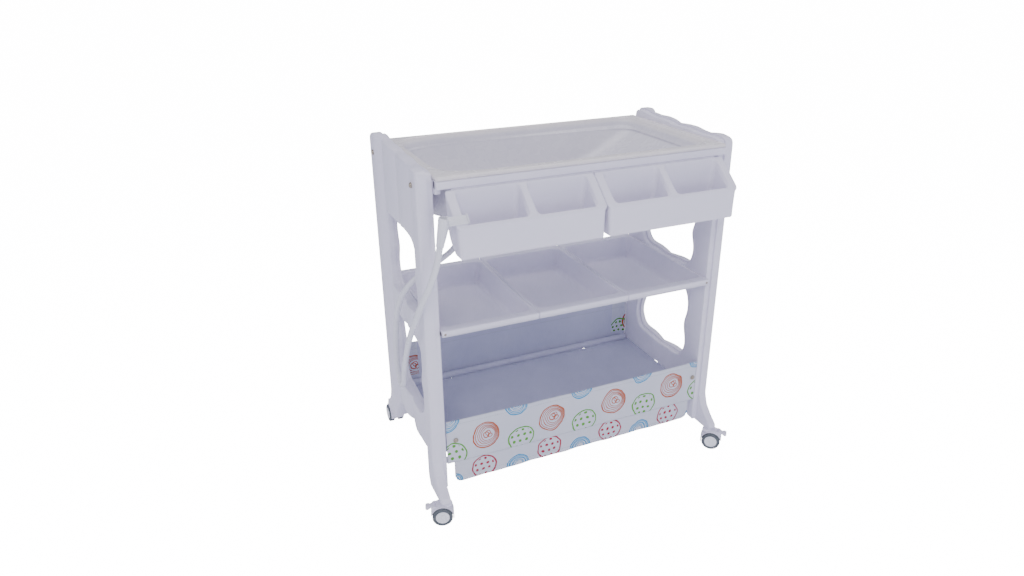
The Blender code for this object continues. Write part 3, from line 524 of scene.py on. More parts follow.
def join(bm, first, second):
    """Quads between two closed rings of equal length."""
    count = len(first)
    for k in range(count):
        after = (k + 1) % count
        bm.faces.new((first[k], first[after], second[after], second[k]))


def inside(point, loop):
    """Whether a point is inside a closed outline."""
    x, y = point
    ahead = np.roll(loop, -1, 0)
    crosses = (loop[:, 1] > y) != (ahead[:, 1] > y)
    rise = np.where(ahead[:, 1] == loop[:, 1], 1.0, ahead[:, 1] - loop[:, 1])
    reach = loop[:, 0] + (y - loop[:, 1]) * (ahead[:, 0] - loop[:, 0]) / rise
    return bool(np.count_nonzero(crosses & (x < reach)) % 2)


def fill(bm, loops, rows, surface, grid=None):
    """Triangles over the area inside the first outline and outside the others."""
    flat = [Vector(point) for loop in loops for point in loop]
    verts = [vert for row in rows for vert in row]
    edges = []
    start = 0
    for loop in loops:
        count = len(loop)
        edges += [(start + k, start + (k + 1) % count) for k in range(count)]
        start += count
    if grid is not None:
        bounds = np.vstack(loops)
        for a in np.arange(loops[0][:, 0].min() + grid[0], loops[0][:, 0].max(), grid[0]):
            for b in np.arange(loops[0][:, 1].min() + grid[1], loops[0][:, 1].max(), grid[1]):
                clear = np.min(np.hypot(bounds[:, 0] - a, bounds[:, 1] - b)) > 0.6 * min(grid)
                if clear and inside((a, b), loops[0]) and not any(inside((a, b), h) for h in loops[1:]):
                    flat.append(Vector((a, b)))
                    verts.append(bm.verts.new(surface(a, b, 0.0)))
    places, _, faces, origins, _, _ = delaunay_2d_cdt(flat, edges, [], 1, 1e-7)
    for face in faces:
        middle = sum((places[i] for i in face), Vector((0.0, 0.0))) / len(face)
        if any(inside(middle, hole) for hole in loops[1:]):
            continue
        corners = [origins[i][0] for i in face if origins[i]]
        if len(set(corners)) == len(face):
            bm.faces.new([verts[i] for i in corners])


def deck(bm, loops, rounds, surface, grid=None, steps=4):
    """A surface with rounded edges at its outline and holes; gives each loop's last ring."""
    flats, tops, lasts = [], [], []
    for index, (loop, edge) in enumerate(zip(loops, rounds)):
        normal = inward(loop) * (1 if index == 0 else -1)
        before = None
        for step in range(steps + 1 if edge else 1):
            turn = math.pi / 2 * step / steps
            places = loop + normal * edge * (1 - math.sin(turn))
            depth = edge * (1 - math.cos(turn))
            row = ring(bm, [surface(a, b, depth) for a, b in places])
            if before is None:
                flats.append(places)
                tops.append(row)
            else:
                join(bm, before, row)
            before = row
        lasts.append(before)
    fill(bm, flats, tops, surface, grid)
    return lasts


def stack(bm, row, rings):
    """Join a ring to the next ones in turn; gives the last."""
    for points in rings:
        after = ring(bm, points)
        join(bm, row, after)
        row = after
    return row


def cap(bm, row):
    """Close a level ring."""
    flat = np.array([vert.co[:2] for vert in row])
    fill(bm, [flat], [row], None)


def make_mesh(bm, name, sharp):
    """The finished mesh, closed surfaces facing out and shaded smooth but for sharp edges."""
    bmesh.ops.recalc_face_normals(bm, faces=bm.faces)
    mesh = bpy.data.meshes.new(name)
    bm.to_mesh(mesh)
    bm.free()
    mesh.shade_smooth()
    mesh.set_sharp_from_angle(angle=math.radians(sharp))
    return mesh


def frame_box(name):
    """The box of a piece of the frame, before it is lowered."""
    low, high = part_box(name)
    return low + Vector((0, 0, FRAME_DROP)), high + Vector((0, 0, FRAME_DROP))


def linked(name, data):
    """A new object in the scene."""
    thing = bpy.data.objects.new(name, data)
    bpy.context.scene.collection.objects.link(thing)
    return thing


def piece(name, data, look, stands_for=(), body="root", place=Matrix.Identity(4), sharp=40.0):
    """A piece that rides on a body; all but the castors' are lowered onto the castors."""
    if isinstance(data, bmesh.types.BMesh):
        data = make_mesh(data, name, sharp)
    thing = linked(name, data)
    drop = 0.0 if body.startswith("castor_") else FRAME_DROP
    thing.matrix_world = Matrix.Translation((0, 0, -drop)) @ place
    thing.data.materials.append(look[0])
    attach(thing, body)
    if stands_for:
        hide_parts(*stands_for)
    return thing


def shell(thing, thickness, offset=-1.0):
    """Thickness for an open surface; an offset of 0 puts half of it on either side."""
    wall = thing.modifiers.new("wall", "SOLIDIFY")
    wall.thickness = thickness
    wall.offset = offset
    return thing


def slab(name, loops, rounds, upper, lower, look, stands_for=(), grid=None, body="root"):
    """A closed piece between two surfaces with the same outlines; upper and lower edge radii in rounds."""
    bm = bmesh.new()
    tops = deck(bm, loops, [pair[0] for pair in rounds], upper, grid)
    bottoms = deck(bm, loops, [pair[1] for pair in rounds], lower)
    for above, below in zip(tops, bottoms):
        join(bm, above, below)
    return piece(name, bm, look, stands_for, body)


# Side panels


def panel_outline(flared):
    """Top sloping to the front, straight posts, wavy skirt; the outer shell's feet flare."""
    flare = [
        (PANEL_DEPTH, FOOT_Z + 0.086),
        (PANEL_DEPTH + 0.01, FOOT_Z + 0.056),
        (PANEL_DEPTH + 0.032, FOOT_Z + 0.032),
        (FOOT_REACH, FOOT_Z + 0.014),
        (FOOT_REACH, FOOT_Z),
    ]
    side = [
        *(flare if flared else [(PANEL_DEPTH, FOOT_Z)]),
        (FOOT_HEEL + 0.022, FOOT_Z),
        (FOOT_HEEL + 0.004, FOOT_Z + 0.036),
        (FOOT_HEEL - 0.006, SKIRT_Z - 0.022),
        (FOOT_HEEL - 0.022, SKIRT_Z - 0.006),
        (0.082, SKIRT_Z + 0.002),
        (0.04, SKIRT_Z - 0.002),
    ]
    front = [(-y, z) for y, z in reversed(side)]
    top = [(y, PANEL_TOP + rise) for y, rise in TOP_EDGE]
    return soften(dense(side + [(0.0, SKIRT_Z + 0.007)] + front + top, 0.004), 2)


def window_outline(bottom, top):
    """A window with scalloped edges, waisted at mid height, from its y > 0 half."""
    half = [
        (0.0, top - 0.008),
        (0.048, top),
        (0.096, top - 0.006),
        (0.114, top - 0.03),
        (0.117, top - 0.062),
        (0.107, (bottom + top) / 2),
        (0.117, bottom + 0.06),
        (0.114, bottom + 0.034),
        (0.096, bottom + 0.008),
        (0.048, bottom + 0.004),
        (0.0, bottom),
    ]
    return soften(dense(smooth_loop(half + [(-y, z) for y, z in half[-2:0:-1]]), 0.004), 2)


def skin_x(y):
    """How far out the outer shell stands at depth y: two ridges between two posts."""
    y = abs(y)
    if y < RIDGE_WIDTH:
        return RIDGE_BASE_X + RIDGE_RISE * math.sin(math.pi * y / RIDGE_WIDTH) ** 0.6
    post = min((y - RIDGE_WIDTH) / POST_BEND, 1.0)
    return RIDGE_BASE_X + (HALF_WIDTH - RIDGE_BASE_X) * math.sin(math.pi / 2 * post)


def moved_in(loops, distance):
    """The outline moved in and its holes widened by a distance."""
    return [loop + inward(loop) * distance * (1 if k == 0 else -1) for k, loop in enumerate(loops)]


def build_panel(side, sign):
    windows = [window_outline(*window) for window in WINDOWS]
    slab(
        side + "_panel_outer_shell", [panel_outline(True)] + windows,
        [(0.0065, 0.0)] + [(0.0035, 0.0)] * len(windows),
        lambda y, z, depth: (sign * (skin_x(y) - depth), y, z),
        lambda y, z, depth: (sign * (SPLIT_X + depth), y, z),
        WHITE, [side + "_outer_panel"], (0.005, 0.012),
    )
    slab(
        side + "_panel_inner_shell", moved_in([panel_outline(False)] + windows, INNER_SETBACK),
        [(0.003, 0.0)] * (1 + len(windows)),
        lambda y, z, depth: (sign * (INNER_X + depth), y, z),
        lambda y, z, depth: (sign * (SPLIT_X - GAP - depth), y, z),
        WHITE, [side + "_inner_panel"],
    )


# Organiser


def wall_levels(steps):
    """Steps down a wall, from 0 to 1, and round its foot, from 1 to 2."""
    return [k / steps for k in range(1, steps + 1)] + [1 + k / 6 for k in range(1, 7)]


def rim_height(y):
    """Height of the organiser's sloping mouth at depth y."""
    rise = (ORGANISER_TOP - 0.001) - (ORGANISER_LIP + 0.003)
    run = (ORGANISER_BACK - 0.006) - (ORGANISER_FRONT + 0.004)
    slope = (y - ORGANISER_FRONT - 0.004) * rise / run
    return clamp(ORGANISER_LIP + 0.003 + slope, ORGANISER_LIP, ORGANISER_TOP - 0.001)


def build_organiser(name, sign):
    """A module with two compartments: one closed mesh with rounded rims and corners."""
    middle = sign * ORGANISER_HALF / 2
    half = ORGANISER_HALF / 2 - 0.0004
    front, back = ORGANISER_FRONT + WELL_MARGIN, ORGANISER_BACK - WELL_MARGIN
    outer = rounded_box((middle - half, ORGANISER_FRONT), (middle + half, ORGANISER_BACK), 0.009, 0.003)
    centres = [middle - WELL_OFFSET, middle + WELL_OFFSET]
    wells = [rounded_box((x - WELL_HALF, front), (x + WELL_HALF, back), 0.01, 0.003) for x in centres]
    bm = bmesh.new()
    rows = deck(
        bm, [outer] + wells, [ORGANISER_EDGE] + [WELL_EDGE] * len(wells),
        lambda x, y, depth: (x, y, rim_height(y) - depth), (0.004, 0.004),
    )
    cap(bm, stack(bm, rows[0], wall_rings(
        outer, middle, edge=ORGANISER_EDGE, floor=ORGANISER_FLOOR, radius=0.006, draft=0.05, undercut=0.046,
    )))
    for row, well, centre in zip(rows[1:], wells, centres):
        cap(bm, stack(bm, row, wall_rings(
            well, centre, edge=WELL_EDGE, floor=WELL_FLOOR, radius=0.012, draft=0.08, undercut=0.044,
        )))
    return piece(name + "_module", bm, WHITE, [name])


def wall_rings(outline, middle, edge, floor, radius, draft, undercut):
    """Rings down a drafted, undercut wall from a sloping mouth to the floor, rounded into the floor."""
    normal = inward(outline)
    rings = []
    for level in wall_levels(14):
        turn = math.pi / 2 * max(level - 1.0, 0.0)
        pull = radius * (1 - math.cos(turn))
        points = []
        for (x, y), (nx, ny) in zip(outline, normal):
            top = rim_height(y) - edge
            if level <= 1.0:
                z = top + (floor + radius - top) * level
            else:
                z = floor + radius * (1 - math.sin(turn))
            forward = undercut * clamp((UNDERCUT_TOP - z) / (UNDERCUT_TOP - floor)) ** 2.2
            share = (y - ORGANISER_FRONT) / (ORGANISER_BACK - ORGANISER_FRONT)
            lean = math.copysign((ORGANISER_TOP - z) * draft, middle - x) * min(abs(middle - x) / 0.03, 1.0)
            points.append((x + lean + nx * pull, y - forward * share + ny * pull, z))
        rings.append(points)
    return rings


# Shelf


def build_tray(name, low_x, high_x):
    """A flanged tray: its flange turns down in front and behind, its well has round corners."""
    outer = rounded_box((low_x + GAP, -SHELF_DEPTH), (high_x - GAP, SHELF_DEPTH - 0.01), 0.003)
    well = rounded_box((low_x + TRAY_MARGIN, TRAY_FRONT), (high_x - TRAY_MARGIN, TRAY_REAR), 0.02)
    bm = bmesh.new()
    rows = deck(bm, [outer, well], [0.0025, TRAY_EDGE], lambda x, y, depth: (x, y, SHELF_TOP - depth))
    stack(bm, rows[0], [[(x, y, SHELF_TOP - SHELF_LIP) for x, y in outer]])
    top = SHELF_TOP - TRAY_EDGE
    drop, radius = top - TRAY_FLOOR, 0.012
    rings = []
    for level in wall_levels(4):
        turn = math.pi / 2 * max(level - 1.0, 0.0)
        depth = (drop - radius) * min(level, 1.0) + radius * math.sin(turn)
        pull = 0.01 * depth / drop + radius * (1 - math.cos(turn))
        lean = TRAY_FRONT_LEAN * depth / drop / (TRAY_REAR - TRAY_FRONT)
        rings.append([(x, y + lean * (TRAY_REAR - y), top - depth) for x, y in well + inward(well) * pull])
    cap(bm, stack(bm, rows[1], rings))
    return shell(piece(name.replace("shelf_", "moulded_"), bm, WHITE, [name]), TRAY_WALL)


# Bath


BATH_RINGS = (  # height, middle x, half length, middle y, half width, squareness
    (RIM_TOP, -0.003, 0.337, 0.0005, 0.1865, 7.0),
    (RIM_TOP - 0.006, -0.003, 0.333, 0.0005, 0.184, 7.0),
    (0.843, -0.005, 0.33, 0.001, 0.18, 6.5),
    (0.838, -0.006, 0.3285, 0.002, 0.1775, 6.5),
    (0.834, -0.007, 0.327, 0.002, 0.176, 6.0),
    (0.828, -0.0085, 0.3255, 0.002, 0.174, 6.0),
    (0.8, -0.036, 0.296, 0.002, 0.16, 5.5),
    (0.765, -0.0795, 0.2495, 0.002, 0.136, 5.0),
    (0.742, -0.1155, 0.2105, 0.002, 0.112, 4.5),
    (0.73, -0.134, 0.184, 0.002, 0.09, 4.0),
    (BATH_FLOOR, DRAIN_X + 0.03, 0.06, 0.0, 0.045, 2.0),
)


def superellipse(x, half_x, y, half_y, power, sides=160):
    """A squarish ring, squarer still at its +X end."""
    turns = 2 * np.pi * (np.arange(sides) + 0.5) / sides
    cosine, sine = np.cos(turns), np.sin(turns)
    powers = np.where(cosine > 0, power * 1.9 if power > 3.0 else power, power)
    return np.stack([
        x + half_x * np.sign(cosine) * np.abs(cosine) ** (2 / powers),
        y + half_y * np.sign(sine) * np.abs(sine) ** (2 / powers),
    ], 1)


def eased(value):
    value = clamp(value)
    return value * value * (3 - 2 * value)


def ledge(x, z):
    """How far the basin's long walls stand in under a ledge beside the sloping back."""
    below = eased((0.8405 - z) / 0.006) * eased((z - 0.755) / 0.045)
    return 0.015 * eased((x + 0.08) / 0.3) * below


def build_bath():
    reach = INNER_X - GAP
    outer = rounded_box((-reach, BATH_FRONT), (reach, BATH_BACK), 0.004, 0.005)
    loops = [outer, superellipse(*BATH_RINGS[0][1:])]
    bm = bmesh.new()
    rows = deck(bm, loops, [0.0035, 0.006], lambda x, y, depth: (x, y, RIM_TOP - depth), (0.02, 0.02))
    stack(bm, rows[0], [[(x, y, RAIL_TOP + GAP) for x, y in outer]])
    levels = [BATH_RINGS[1], *BATH_RINGS[1:], BATH_RINGS[-1]]
    rings = []
    for i in range(len(levels) - 3):
        for part in (0.25, 0.5, 0.75, 1.0):
            height, *shape = [spline_point(*column, part) for column in zip(*levels[i:i + 4])]
            flat = superellipse(*shape)
            rings.append([(x, y - math.copysign(ledge(x, height), y), height) for x, y in flat])
    hole = DRAIN_FLANGE + GAP
    rings.append([(x, y, BATH_FLOOR) for x, y in superellipse(DRAIN_X, hole, 0.0, hole, 2.0)])
    stack(bm, rows[1], rings)
    return shell(piece("bath_basin", bm, BATH, ["bath_tub"], sharp=60.0), BATH_WALL)


# Hose


def build_hose():
    line = bpy.data.curves.new("drain_hose_line", "CURVE")
    line.dimensions = "3D"
    line.bevel_depth = HOSE_RADIUS
    line.bevel_resolution = 8
    line.use_fill_caps = True
    points = through(HOSE_ROUTE, 0.006)
    spline = line.splines.new("POLY")
    spline.points.add(len(points) - 1)
    for point, place in zip(spline.points, points):
        point.co = (*place, 1.0)
    hose = piece("drain_hose_tube", line, HOSE, ["drain_hose"])
    length = sum((b - a).length for a, b in zip(points, points[1:]))
    tuple(hose.matrix_world @ points[0])


# Rails


def bar(name, outline, low_x, high_x, edge, stands_for=(), look=WHITE):
    """A rail of any section along X, its ends rounded."""
    slab(
        name, [outline], [(edge, edge)], lambda y, z, depth: (high_x - depth, y, z),
        lambda y, z, depth: (low_x + depth, y, z), look, stands_for,
    )


def circle(y, z, radius, sides=32):
    turns = 2 * np.pi * np.arange(sides) / sides
    return np.stack([y + radius * np.cos(turns), z + radius * np.sin(turns)], 1)


def build_rails():
    for name, edge, depth in (
        ("upper_front_rail", BATH_FRONT, FRONT_RAIL_DEPTH), ("upper_rear_rail", BATH_BACK, -REAR_RAIL_DEPTH),
    ):
        low, high = frame_box(name)
        near, far = sorted((edge, edge + depth))
        section = rounded_box((near, RAIL_TOP - RAIL_HEIGHT), (far, RAIL_TOP), 0.0028, 0.0015)
        bar(name.replace("rail", "bar"), section, low.x, high.x, 0.001, [name])
        near, far = sorted((edge + depth / 2, math.copysign(LUG_Y, edge)))
        lug = rounded_box((near, RAIL_TOP - LUG_DROP), (far, RAIL_TOP - 0.001), 0.003, 0.002)
        for side, end in (("right", low.x), ("left", -low.x)):  # as seen from behind
            ends = sorted((end, end - math.copysign(LUG_THICKNESS, end)))
            bar(f"{name}_lug_{side}", lug, *ends, 0.001)
    top = RAIL_TOP - RAIL_HEIGHT
    flange = rounded_box((BATH_FRONT, FLANGE_Z), (BATH_FRONT + FLANGE_DEPTH, top), 0.001, 0.0008)
    bar("upper_front_flange", flange, -FLANGE_X, FLANGE_X, 0.0005)
    for name in ("shelf_front_rail", "shelf_rear_rail", "basket_front_rail", "basket_rear_rail"):
        low, high = frame_box(name)
        middle = (low + high) / 2
        section = circle(middle.y, middle.z, (high.z - low.z) / 2)
        bar(name.replace("rail", "tube"), section, low.x, high.x, 0.001, [name])


# Turned pieces


def lathe(profile, steps=48, place=Matrix.Identity(4)):
    """A closed profile of (radius, height) points turned about Z; points on the axis become poles."""
    bm = bmesh.new()
    turns = [2 * math.pi * k / steps for k in range(steps)]
    rows = []
    for radius, height in profile:
        if radius < 1e-6:
            rows.append([bm.verts.new(place @ Vector((0.0, 0.0, height)))] * steps)
        else:
            points = [Vector((radius * math.cos(t), radius * math.sin(t), height)) for t in turns]
            rows.append(ring(bm, [place @ point for point in points]))
    on_axis = profile[0][0] < 1e-6 and profile[-1][0] < 1e-6
    pairs = list(zip(rows, rows[1:])) + ([] if on_axis else [(rows[-1], rows[0])])
    for first, second in pairs:
        for k in range(steps):
            after = (k + 1) % steps
            corners = dict.fromkeys((first[k], first[after], second[after], second[k]))
            if len(corners) > 2:
                bm.faces.new(list(corners))
    return bm


def turned(name, profile, place, look, stands_for=(), body="root", steps=48):
    return piece(name, lathe(profile, steps), look, stands_for, body, place)


def facing_front(x, y, z):
    """A place whose Z axis points to the front."""
    return Matrix.Translation((x, y, z)) @ Matrix.Rotation(math.pi / 2, 4, "X")


def build_bolts():
    face = HALF_WIDTH + GAP
    head = [(0.0, face + 0.0026), (0.0016, face + 0.0026), (0.002, face + 0.003), (0.0022, face + 0.0042)]
    head += [
        (0.0022 + 0.004 * math.sin(t), face + 0.001 + 0.0032 * math.cos(t))
        for t in np.linspace(0.1, math.pi / 2, 8)
    ]
    shank = [(0.0062, face), (0.0028, face), (0.0028, INNER_X - 0.01), (0.0, INNER_X - 0.01)]
    stud = [
        (0.0, 0.0021), (0.0026, 0.002), (0.0036, 0.0015), (0.0042, 0.0015), (0.005, 0.0022),
        (0.0058, 0.002), (0.0062, 0.0012), (0.0062, 0.0), (0.0, 0.0),
    ]
    screw = [
        (0.0, 0.0004), (0.0008, 0.0004), (0.001, 0.001), (0.0022, 0.0009), (0.0028, 0.0003),
        (0.0028, -0.0015), (0.0, -0.0015),
    ]
    for depth, end in (("front", -1), ("rear", 1)):
        for side, sign in SIDES:
            turn = Matrix.Rotation(sign * math.pi / 2, 4, "Y")
            place = Matrix.Translation((0, end * BOLT_Y, BOLT_Z)) @ turn
            node = f"rail_bolt_{depth}_{side}"
            turned(node + "_head", head + shank, place, STEEL, [node])
    for side, sign in SIDES:
        node = "press_stud_" + side
        low, high = frame_box(node)
        middle = (low + high) / 2
        turned(node + "_cap", stud, facing_front(middle.x, high.y, middle.z), STEEL, [node])
        place = facing_front(sign * SHELF_SCREW_X, -SHELF_DEPTH, SHELF_TOP - 0.0085)
        turned("shelf_screw_" + side, screw, place, STEEL, steps=24)


def build_drain():
    place = Matrix.Translation((DRAIN_X, 0.0, 0.0))
    top = BATH_FLOOR + GAP
    turned("drain_outlet", [
        (DRAIN_RADIUS, top + 0.0016), (DRAIN_RADIUS + 0.0006, top + 0.002), (0.0205, top + 0.0018),
        (0.0215, top + 0.001), (0.0215, top), (DRAIN_FLANGE, top), (DRAIN_FLANGE, 0.708), (0.0125, 0.705),
        (HOSE_RADIUS + 0.0015, 0.702), (HOSE_RADIUS + 0.001, 0.694), (0.005, 0.694),
        (0.005, 0.706), (DRAIN_RADIUS - 0.001, 0.711),
    ], place, WHITE, ["drain_spigot"])
    build_nut(place)
    turned("drain_stopper", [
        (0.0, 0.7362), (0.002, 0.736), (0.0026, 0.7352), (0.0026, 0.7312), (0.0036, 0.7302), (0.0112, 0.7298),
        (0.0118, 0.729), (0.0116, 0.727), (0.0108, 0.7215), (0.01, 0.721), (0.0, 0.721),
    ], place, HOSE, ["drain_plug"], "drain_plug")


def build_nut(place):
    """The drain's nut, its outside scalloped for grip."""
    top, bore = BATH_FLOOR - 0.003 - GAP, DRAIN_FLANGE + GAP
    bm = bmesh.new()
    rows = []
    turns = 2 * np.pi * np.arange(96) / 96
    for radius, drop in (
        (bore, 0.0), (0.0222, 0.0), (NUT_RADIUS, 0.0008), (NUT_RADIUS, 0.0062), (0.0222, 0.007),
        (bore, 0.007),
    ):
        grip = 0.0006 if radius == NUT_RADIUS else 0.0
        reach = radius - grip * (1 + np.cos(24 * turns)) / 2
        places = zip(reach * np.cos(turns), reach * np.sin(turns))
        rows.append(ring(bm, [(x, y, top - drop) for x, y in places]))
    for first, second in zip(rows, rows[1:] + rows[:1]):
        join(bm, first, second)
    piece("drain_nut", bm, WHITE, ["drain_locknut"], place=place)


# Hose clip


def build_clip():
    """A funnel on the hose's end, with an arm that hooks over the organiser's end wall."""
    end = Vector(HOSE_ROUTE[-1])
    lean = (end - Vector(HOSE_ROUTE[-2])).normalized()
    place = Matrix.Translation(end) @ lean.to_track_quat("Z", "Y").to_matrix().to_4x4()
    length, mouth = 0.063, 0.013
    funnel = [
        (mouth, length - 0.0006), (mouth, length - 0.008), (0.0124, length - 0.0105), (0.0112, 0.036),
        (0.0098, 0.019), (0.0092, 0.0135), (0.0094, 0.0125), (0.0088, 0.0115), (0.0085, 0.001),
        (0.0072, 0.001), (0.005, 0.001), (0.006, 0.02), (mouth - 0.002, length - 0.004),
        (mouth - 0.0018, length), (mouth - 0.0008, length + 0.0001),
    ]
    piece("hose_funnel", lathe(funnel, 48, place), HOSE, ["hose_clip"])
    near, far = -0.285, -0.27
    for name, low_x, high_x, rise in (("arm", -0.36, -0.317, 0.004), ("lip", -0.32, -0.317, 0.0066)):
        section = np.array(filleted([
            (near, rim_height(near) + 0.001), (near, rim_height(near) + rise),
            (far, rim_height(far) + rise), (far, rim_height(far) + 0.001),
        ], 0.0012))
        bar("hose_clip_" + name, section, low_x, high_x, 0.0008, look=HOSE)
    link = rounded_box((near + 0.003, 0.7765), (near + 0.023, 0.7885), 0.003, 0.001)
    bar("hose_clip_link", link, -0.36, -0.3485, 0.0008, look=HOSE)


# Castors


def castor_places():
    """Each castor's place: its swivel axis at the origin, its trail along +X."""
    joints = {joint["name"]: joint for joint in frame["joints"]}
    for corner in ("front_left", "front_right", "back_left", "back_right"):
        turn = joints[f"castor_{corner}_turn"]
        axis = Vector(joints[f"castor_{corner}_roll_a"]["axis"])
        heading = math.atan2(-axis.x, axis.y)
        spot = Vector(turn["pos_m"])
        yield "castor_" + corner, Matrix.Translation((spot.x, spot.y, 0.0)) @ Matrix.Rotation(heading, 4, "Z")


def arc(radius, start, end, steps):
    """An arc about the axle between two angles in degrees."""
    turns = [math.radians(start + (end - start) * k / steps) for k in range(steps + 1)]
    return [(TRAIL + radius * math.cos(t), WHEEL_RADIUS + radius * math.sin(t)) for t in turns]


def upright(name, outline, low, high, edge, place, body, stands_for=()):
    """A white XZ outline extruded along Y between low and high, its edges rounded, then placed."""
    slab(
        name, [outline], [(edge, edge)], lambda x, z, depth: place @ Vector((x, high - depth, z)),
        lambda x, z, depth: place @ Vector((x, low + depth, z)), WHITE, stands_for, body=body,
    )


def build_castors():
    for name, place in castor_places():
        build_fork(name, place)
        for letter, sign in (("a", -1), ("b", 1)):
            ear = arc(EAR_RADIUS, 66, 28, 8) + filleted([
                (0.038, 0.04), (0.0388, 0.047), (0.037, 0.0515), (0.0305, 0.054), (0.0236, 0.0512),
            ], 0.0015)
            low, high = sorted((sign * EAR_NEAR, sign * EAR_FAR))
            upright(f"{name}_ear_{letter}", dense(ear, 0.001), low, high, 0.0005, place, name + "_swivel")
            build_wheel(name, letter, sign, place)
        build_pedal(name, place)


def build_fork(name, place):
    """A castor's hood: the cover over its wheels, the web between them and the collar on top."""
    sole = FOOT_Z - FRAME_DROP
    swivel = name + "_swivel"
    cover = dense(arc(COVER_OUTER, 12, 192, 28) + arc(COVER_INNER, 192, 12, 28), 0.0012)
    upright(name + "_cover", cover, -COVER_HALF, COVER_HALF, 0.0007, place, swivel, [name + "_hood"])
    web = dense(arc(WEB_RADIUS, 12, 168, 24) + [(-0.012, 0.024), (0.003, 0.014)], 0.0012)
    upright(name + "_web", web, -WEB_HALF, WEB_HALF, 0.0004, place, swivel)
    turned(name + "_collar", [
        (0.0, sole - GAP), (0.0112, sole - GAP), (0.0118, sole - 0.001), (0.0118, 0.0535),
        (0.013, 0.0508), (0.0, 0.0508),
    ], place, WHITE, (), swivel)


def build_pedal(name, place):
    x, z, tip = PEDAL_X, PEDAL_Z, PEDAL_REACH
    pedal = filleted([
        (x - 0.0035, z - 0.0015), (x - 0.003, z + 0.0025), (x + 0.002, z + 0.004),
        (tip - 0.0115, z + 0.0008), (tip - 0.0075, z + 0.0028), (tip - 0.0018, z + 0.0016),
        (tip, z - 0.0025), (tip - 0.0014, z - 0.0066), (tip - 0.0066, z - 0.0074),
        (tip - 0.011, z - 0.004), (x + 0.0045, z - 0.001), (x, z - 0.0032),
    ], 0.0015)
    upright(name + "_brake_lever", dense(pedal, 0.0007), -PEDAL_HALF, PEDAL_HALF, 0.0016, place,
            name + "_pedal", [name + "_brake_pedal"])


def build_wheel(name, letter, side, place):
    """A tyre with a round outer shoulder, and the disc of its hub with a raised cap."""
    centre = Matrix.Translation((TRAIL, side * WHEEL_OFFSET, WHEEL_RADIUS))
    across = place @ centre @ Matrix.Rotation(-side * math.pi / 2, 4, "X")
    half = WHEEL_WIDTH / 2
    body = f"{name}_wheel_{letter}"
    shoulder, inner = WHEEL_RADIUS - 0.0028, 0.0172
    tread = [(inner + 0.0002, half), (shoulder, half + 0.0002)]
    tread += [
        (shoulder + 0.0028 * math.sin(t), half - 0.0028 + 0.003 * math.cos(t))
        for t in np.linspace(0.3, 1.57, 6)
    ]
    tread += [
        (WHEEL_RADIUS, -half + 0.0028), (0.0242, -half + 0.0008), (0.0225, -half), (inner, -half),
        (inner, half - 0.0008),
    ]
    turned(f"{name}_tread_{letter}", tread, across, TREAD, [f"{name}_tyre_{letter}"], body, 64)
    face = half + 0.0004
    disc = [
        (0.0, face + 0.0014), (0.0034, face + 0.0012), (0.0044, face + 0.0005), (0.005, face - 0.0007),
        (0.0056, face - 0.0007), (0.0064, face - 0.0001), (0.0108, face - 0.0001), (0.0114, face - 0.0007),
        (0.012, face - 0.0007), (0.0126, face), (0.0152, face), (0.0162, face - 0.0004),
        (0.0168, face - 0.0014), (0.0169, -half + 0.0006), (0.0168, -half), (0.0036, -half),
        (0.0036, half + 0.0006), (0.0, half + 0.0006),
    ]
    turned(f"{name}_disc_{letter}", disc, across, HUB, [f"{name}_hub_{letter}"], body, 64)


# Basket


def cloth_sheet(name, node, across, upward, place, look):
    """A sheet over the XZ box of a cloth node, its points where place(x, z) puts them."""
    low, high = frame_box(node)
    bm = bmesh.new()
    rows = []
    for z in np.linspace(low.z, high.z, upward):
        rows.append([bm.verts.new(place(x, z)) for x in np.linspace(low.x, high.x, across)])
    for lower, upper in zip(rows, rows[1:]):
        for k in range(across - 1):
            bm.faces.new((lower[k], lower[k + 1], upper[k + 1], upper[k]))
    return piece(name, bm, look, [node])


def wrinkle(x, z, seed):
    """Soft gathers of pulled cloth, in metres."""
    return (
        0.0007 * math.sin(41.0 * x + 3.0 * math.sin(19.0 * z + seed) + seed)
        + 0.0004 * math.sin(97.0 * x - 31.0 * z + 2.3 * seed)
    )


def stretched_cloth(name, node, look, sag, rise, bulge):
    """A cloth wall held at its ends: its hemmed upper edge sags, and bulge says how far it stands back."""
    low, high = frame_box(node)

    def place(x, z):
        up = (z - low.z) / (high.z - low.z)
        span = 1 - (abs(x) / high.x) ** 2
        hem = 0.001 * clamp((z - high.z + HEM_WIDTH) / 0.0015)
        return x, (low.y + high.y) / 2 - hem + bulge(x, z, up, span), z - sag * up * span + rise * up

    wall = cloth_sheet(name, node, 143, 31, place, look)
    shell(wall, CLOTH_THICKNESS, 0.0)


def build_basket():
    studs = [sum(frame_box("press_stud_" + side), Vector()) / 2 for side, _ in SIDES]

    def apron_bulge(x, z, up, span):
        pull = 0.0012 * sum(math.exp(-((x - at.x) ** 2 + (z - at.z) ** 2) / 0.0004) for at in studs)
        belly = 0.003 * span * math.sin(math.pi * (0.15 + 0.6 * up))
        return pull - belly + wrinkle(x, z, 0.7) * span * up

    def back_bulge(x, z, up, span):
        ends = WALL_TURN * eased((abs(x) - 0.342) / 0.016)
        return 0.002 * span * up - ends + wrinkle(x, z, 4.2) * span * (0.3 + up)

    stretched_cloth("basket_apron_cloth", "basket_front_apron", APRON,
                    0.0022, 0.0, apron_bulge)
    build_skirt()
    stretched_cloth("basket_back_cloth", "basket_back_wall", BACK,
                    0.003, WALL_RISE, back_bulge)
    build_sleeve()
    build_floor_pad()


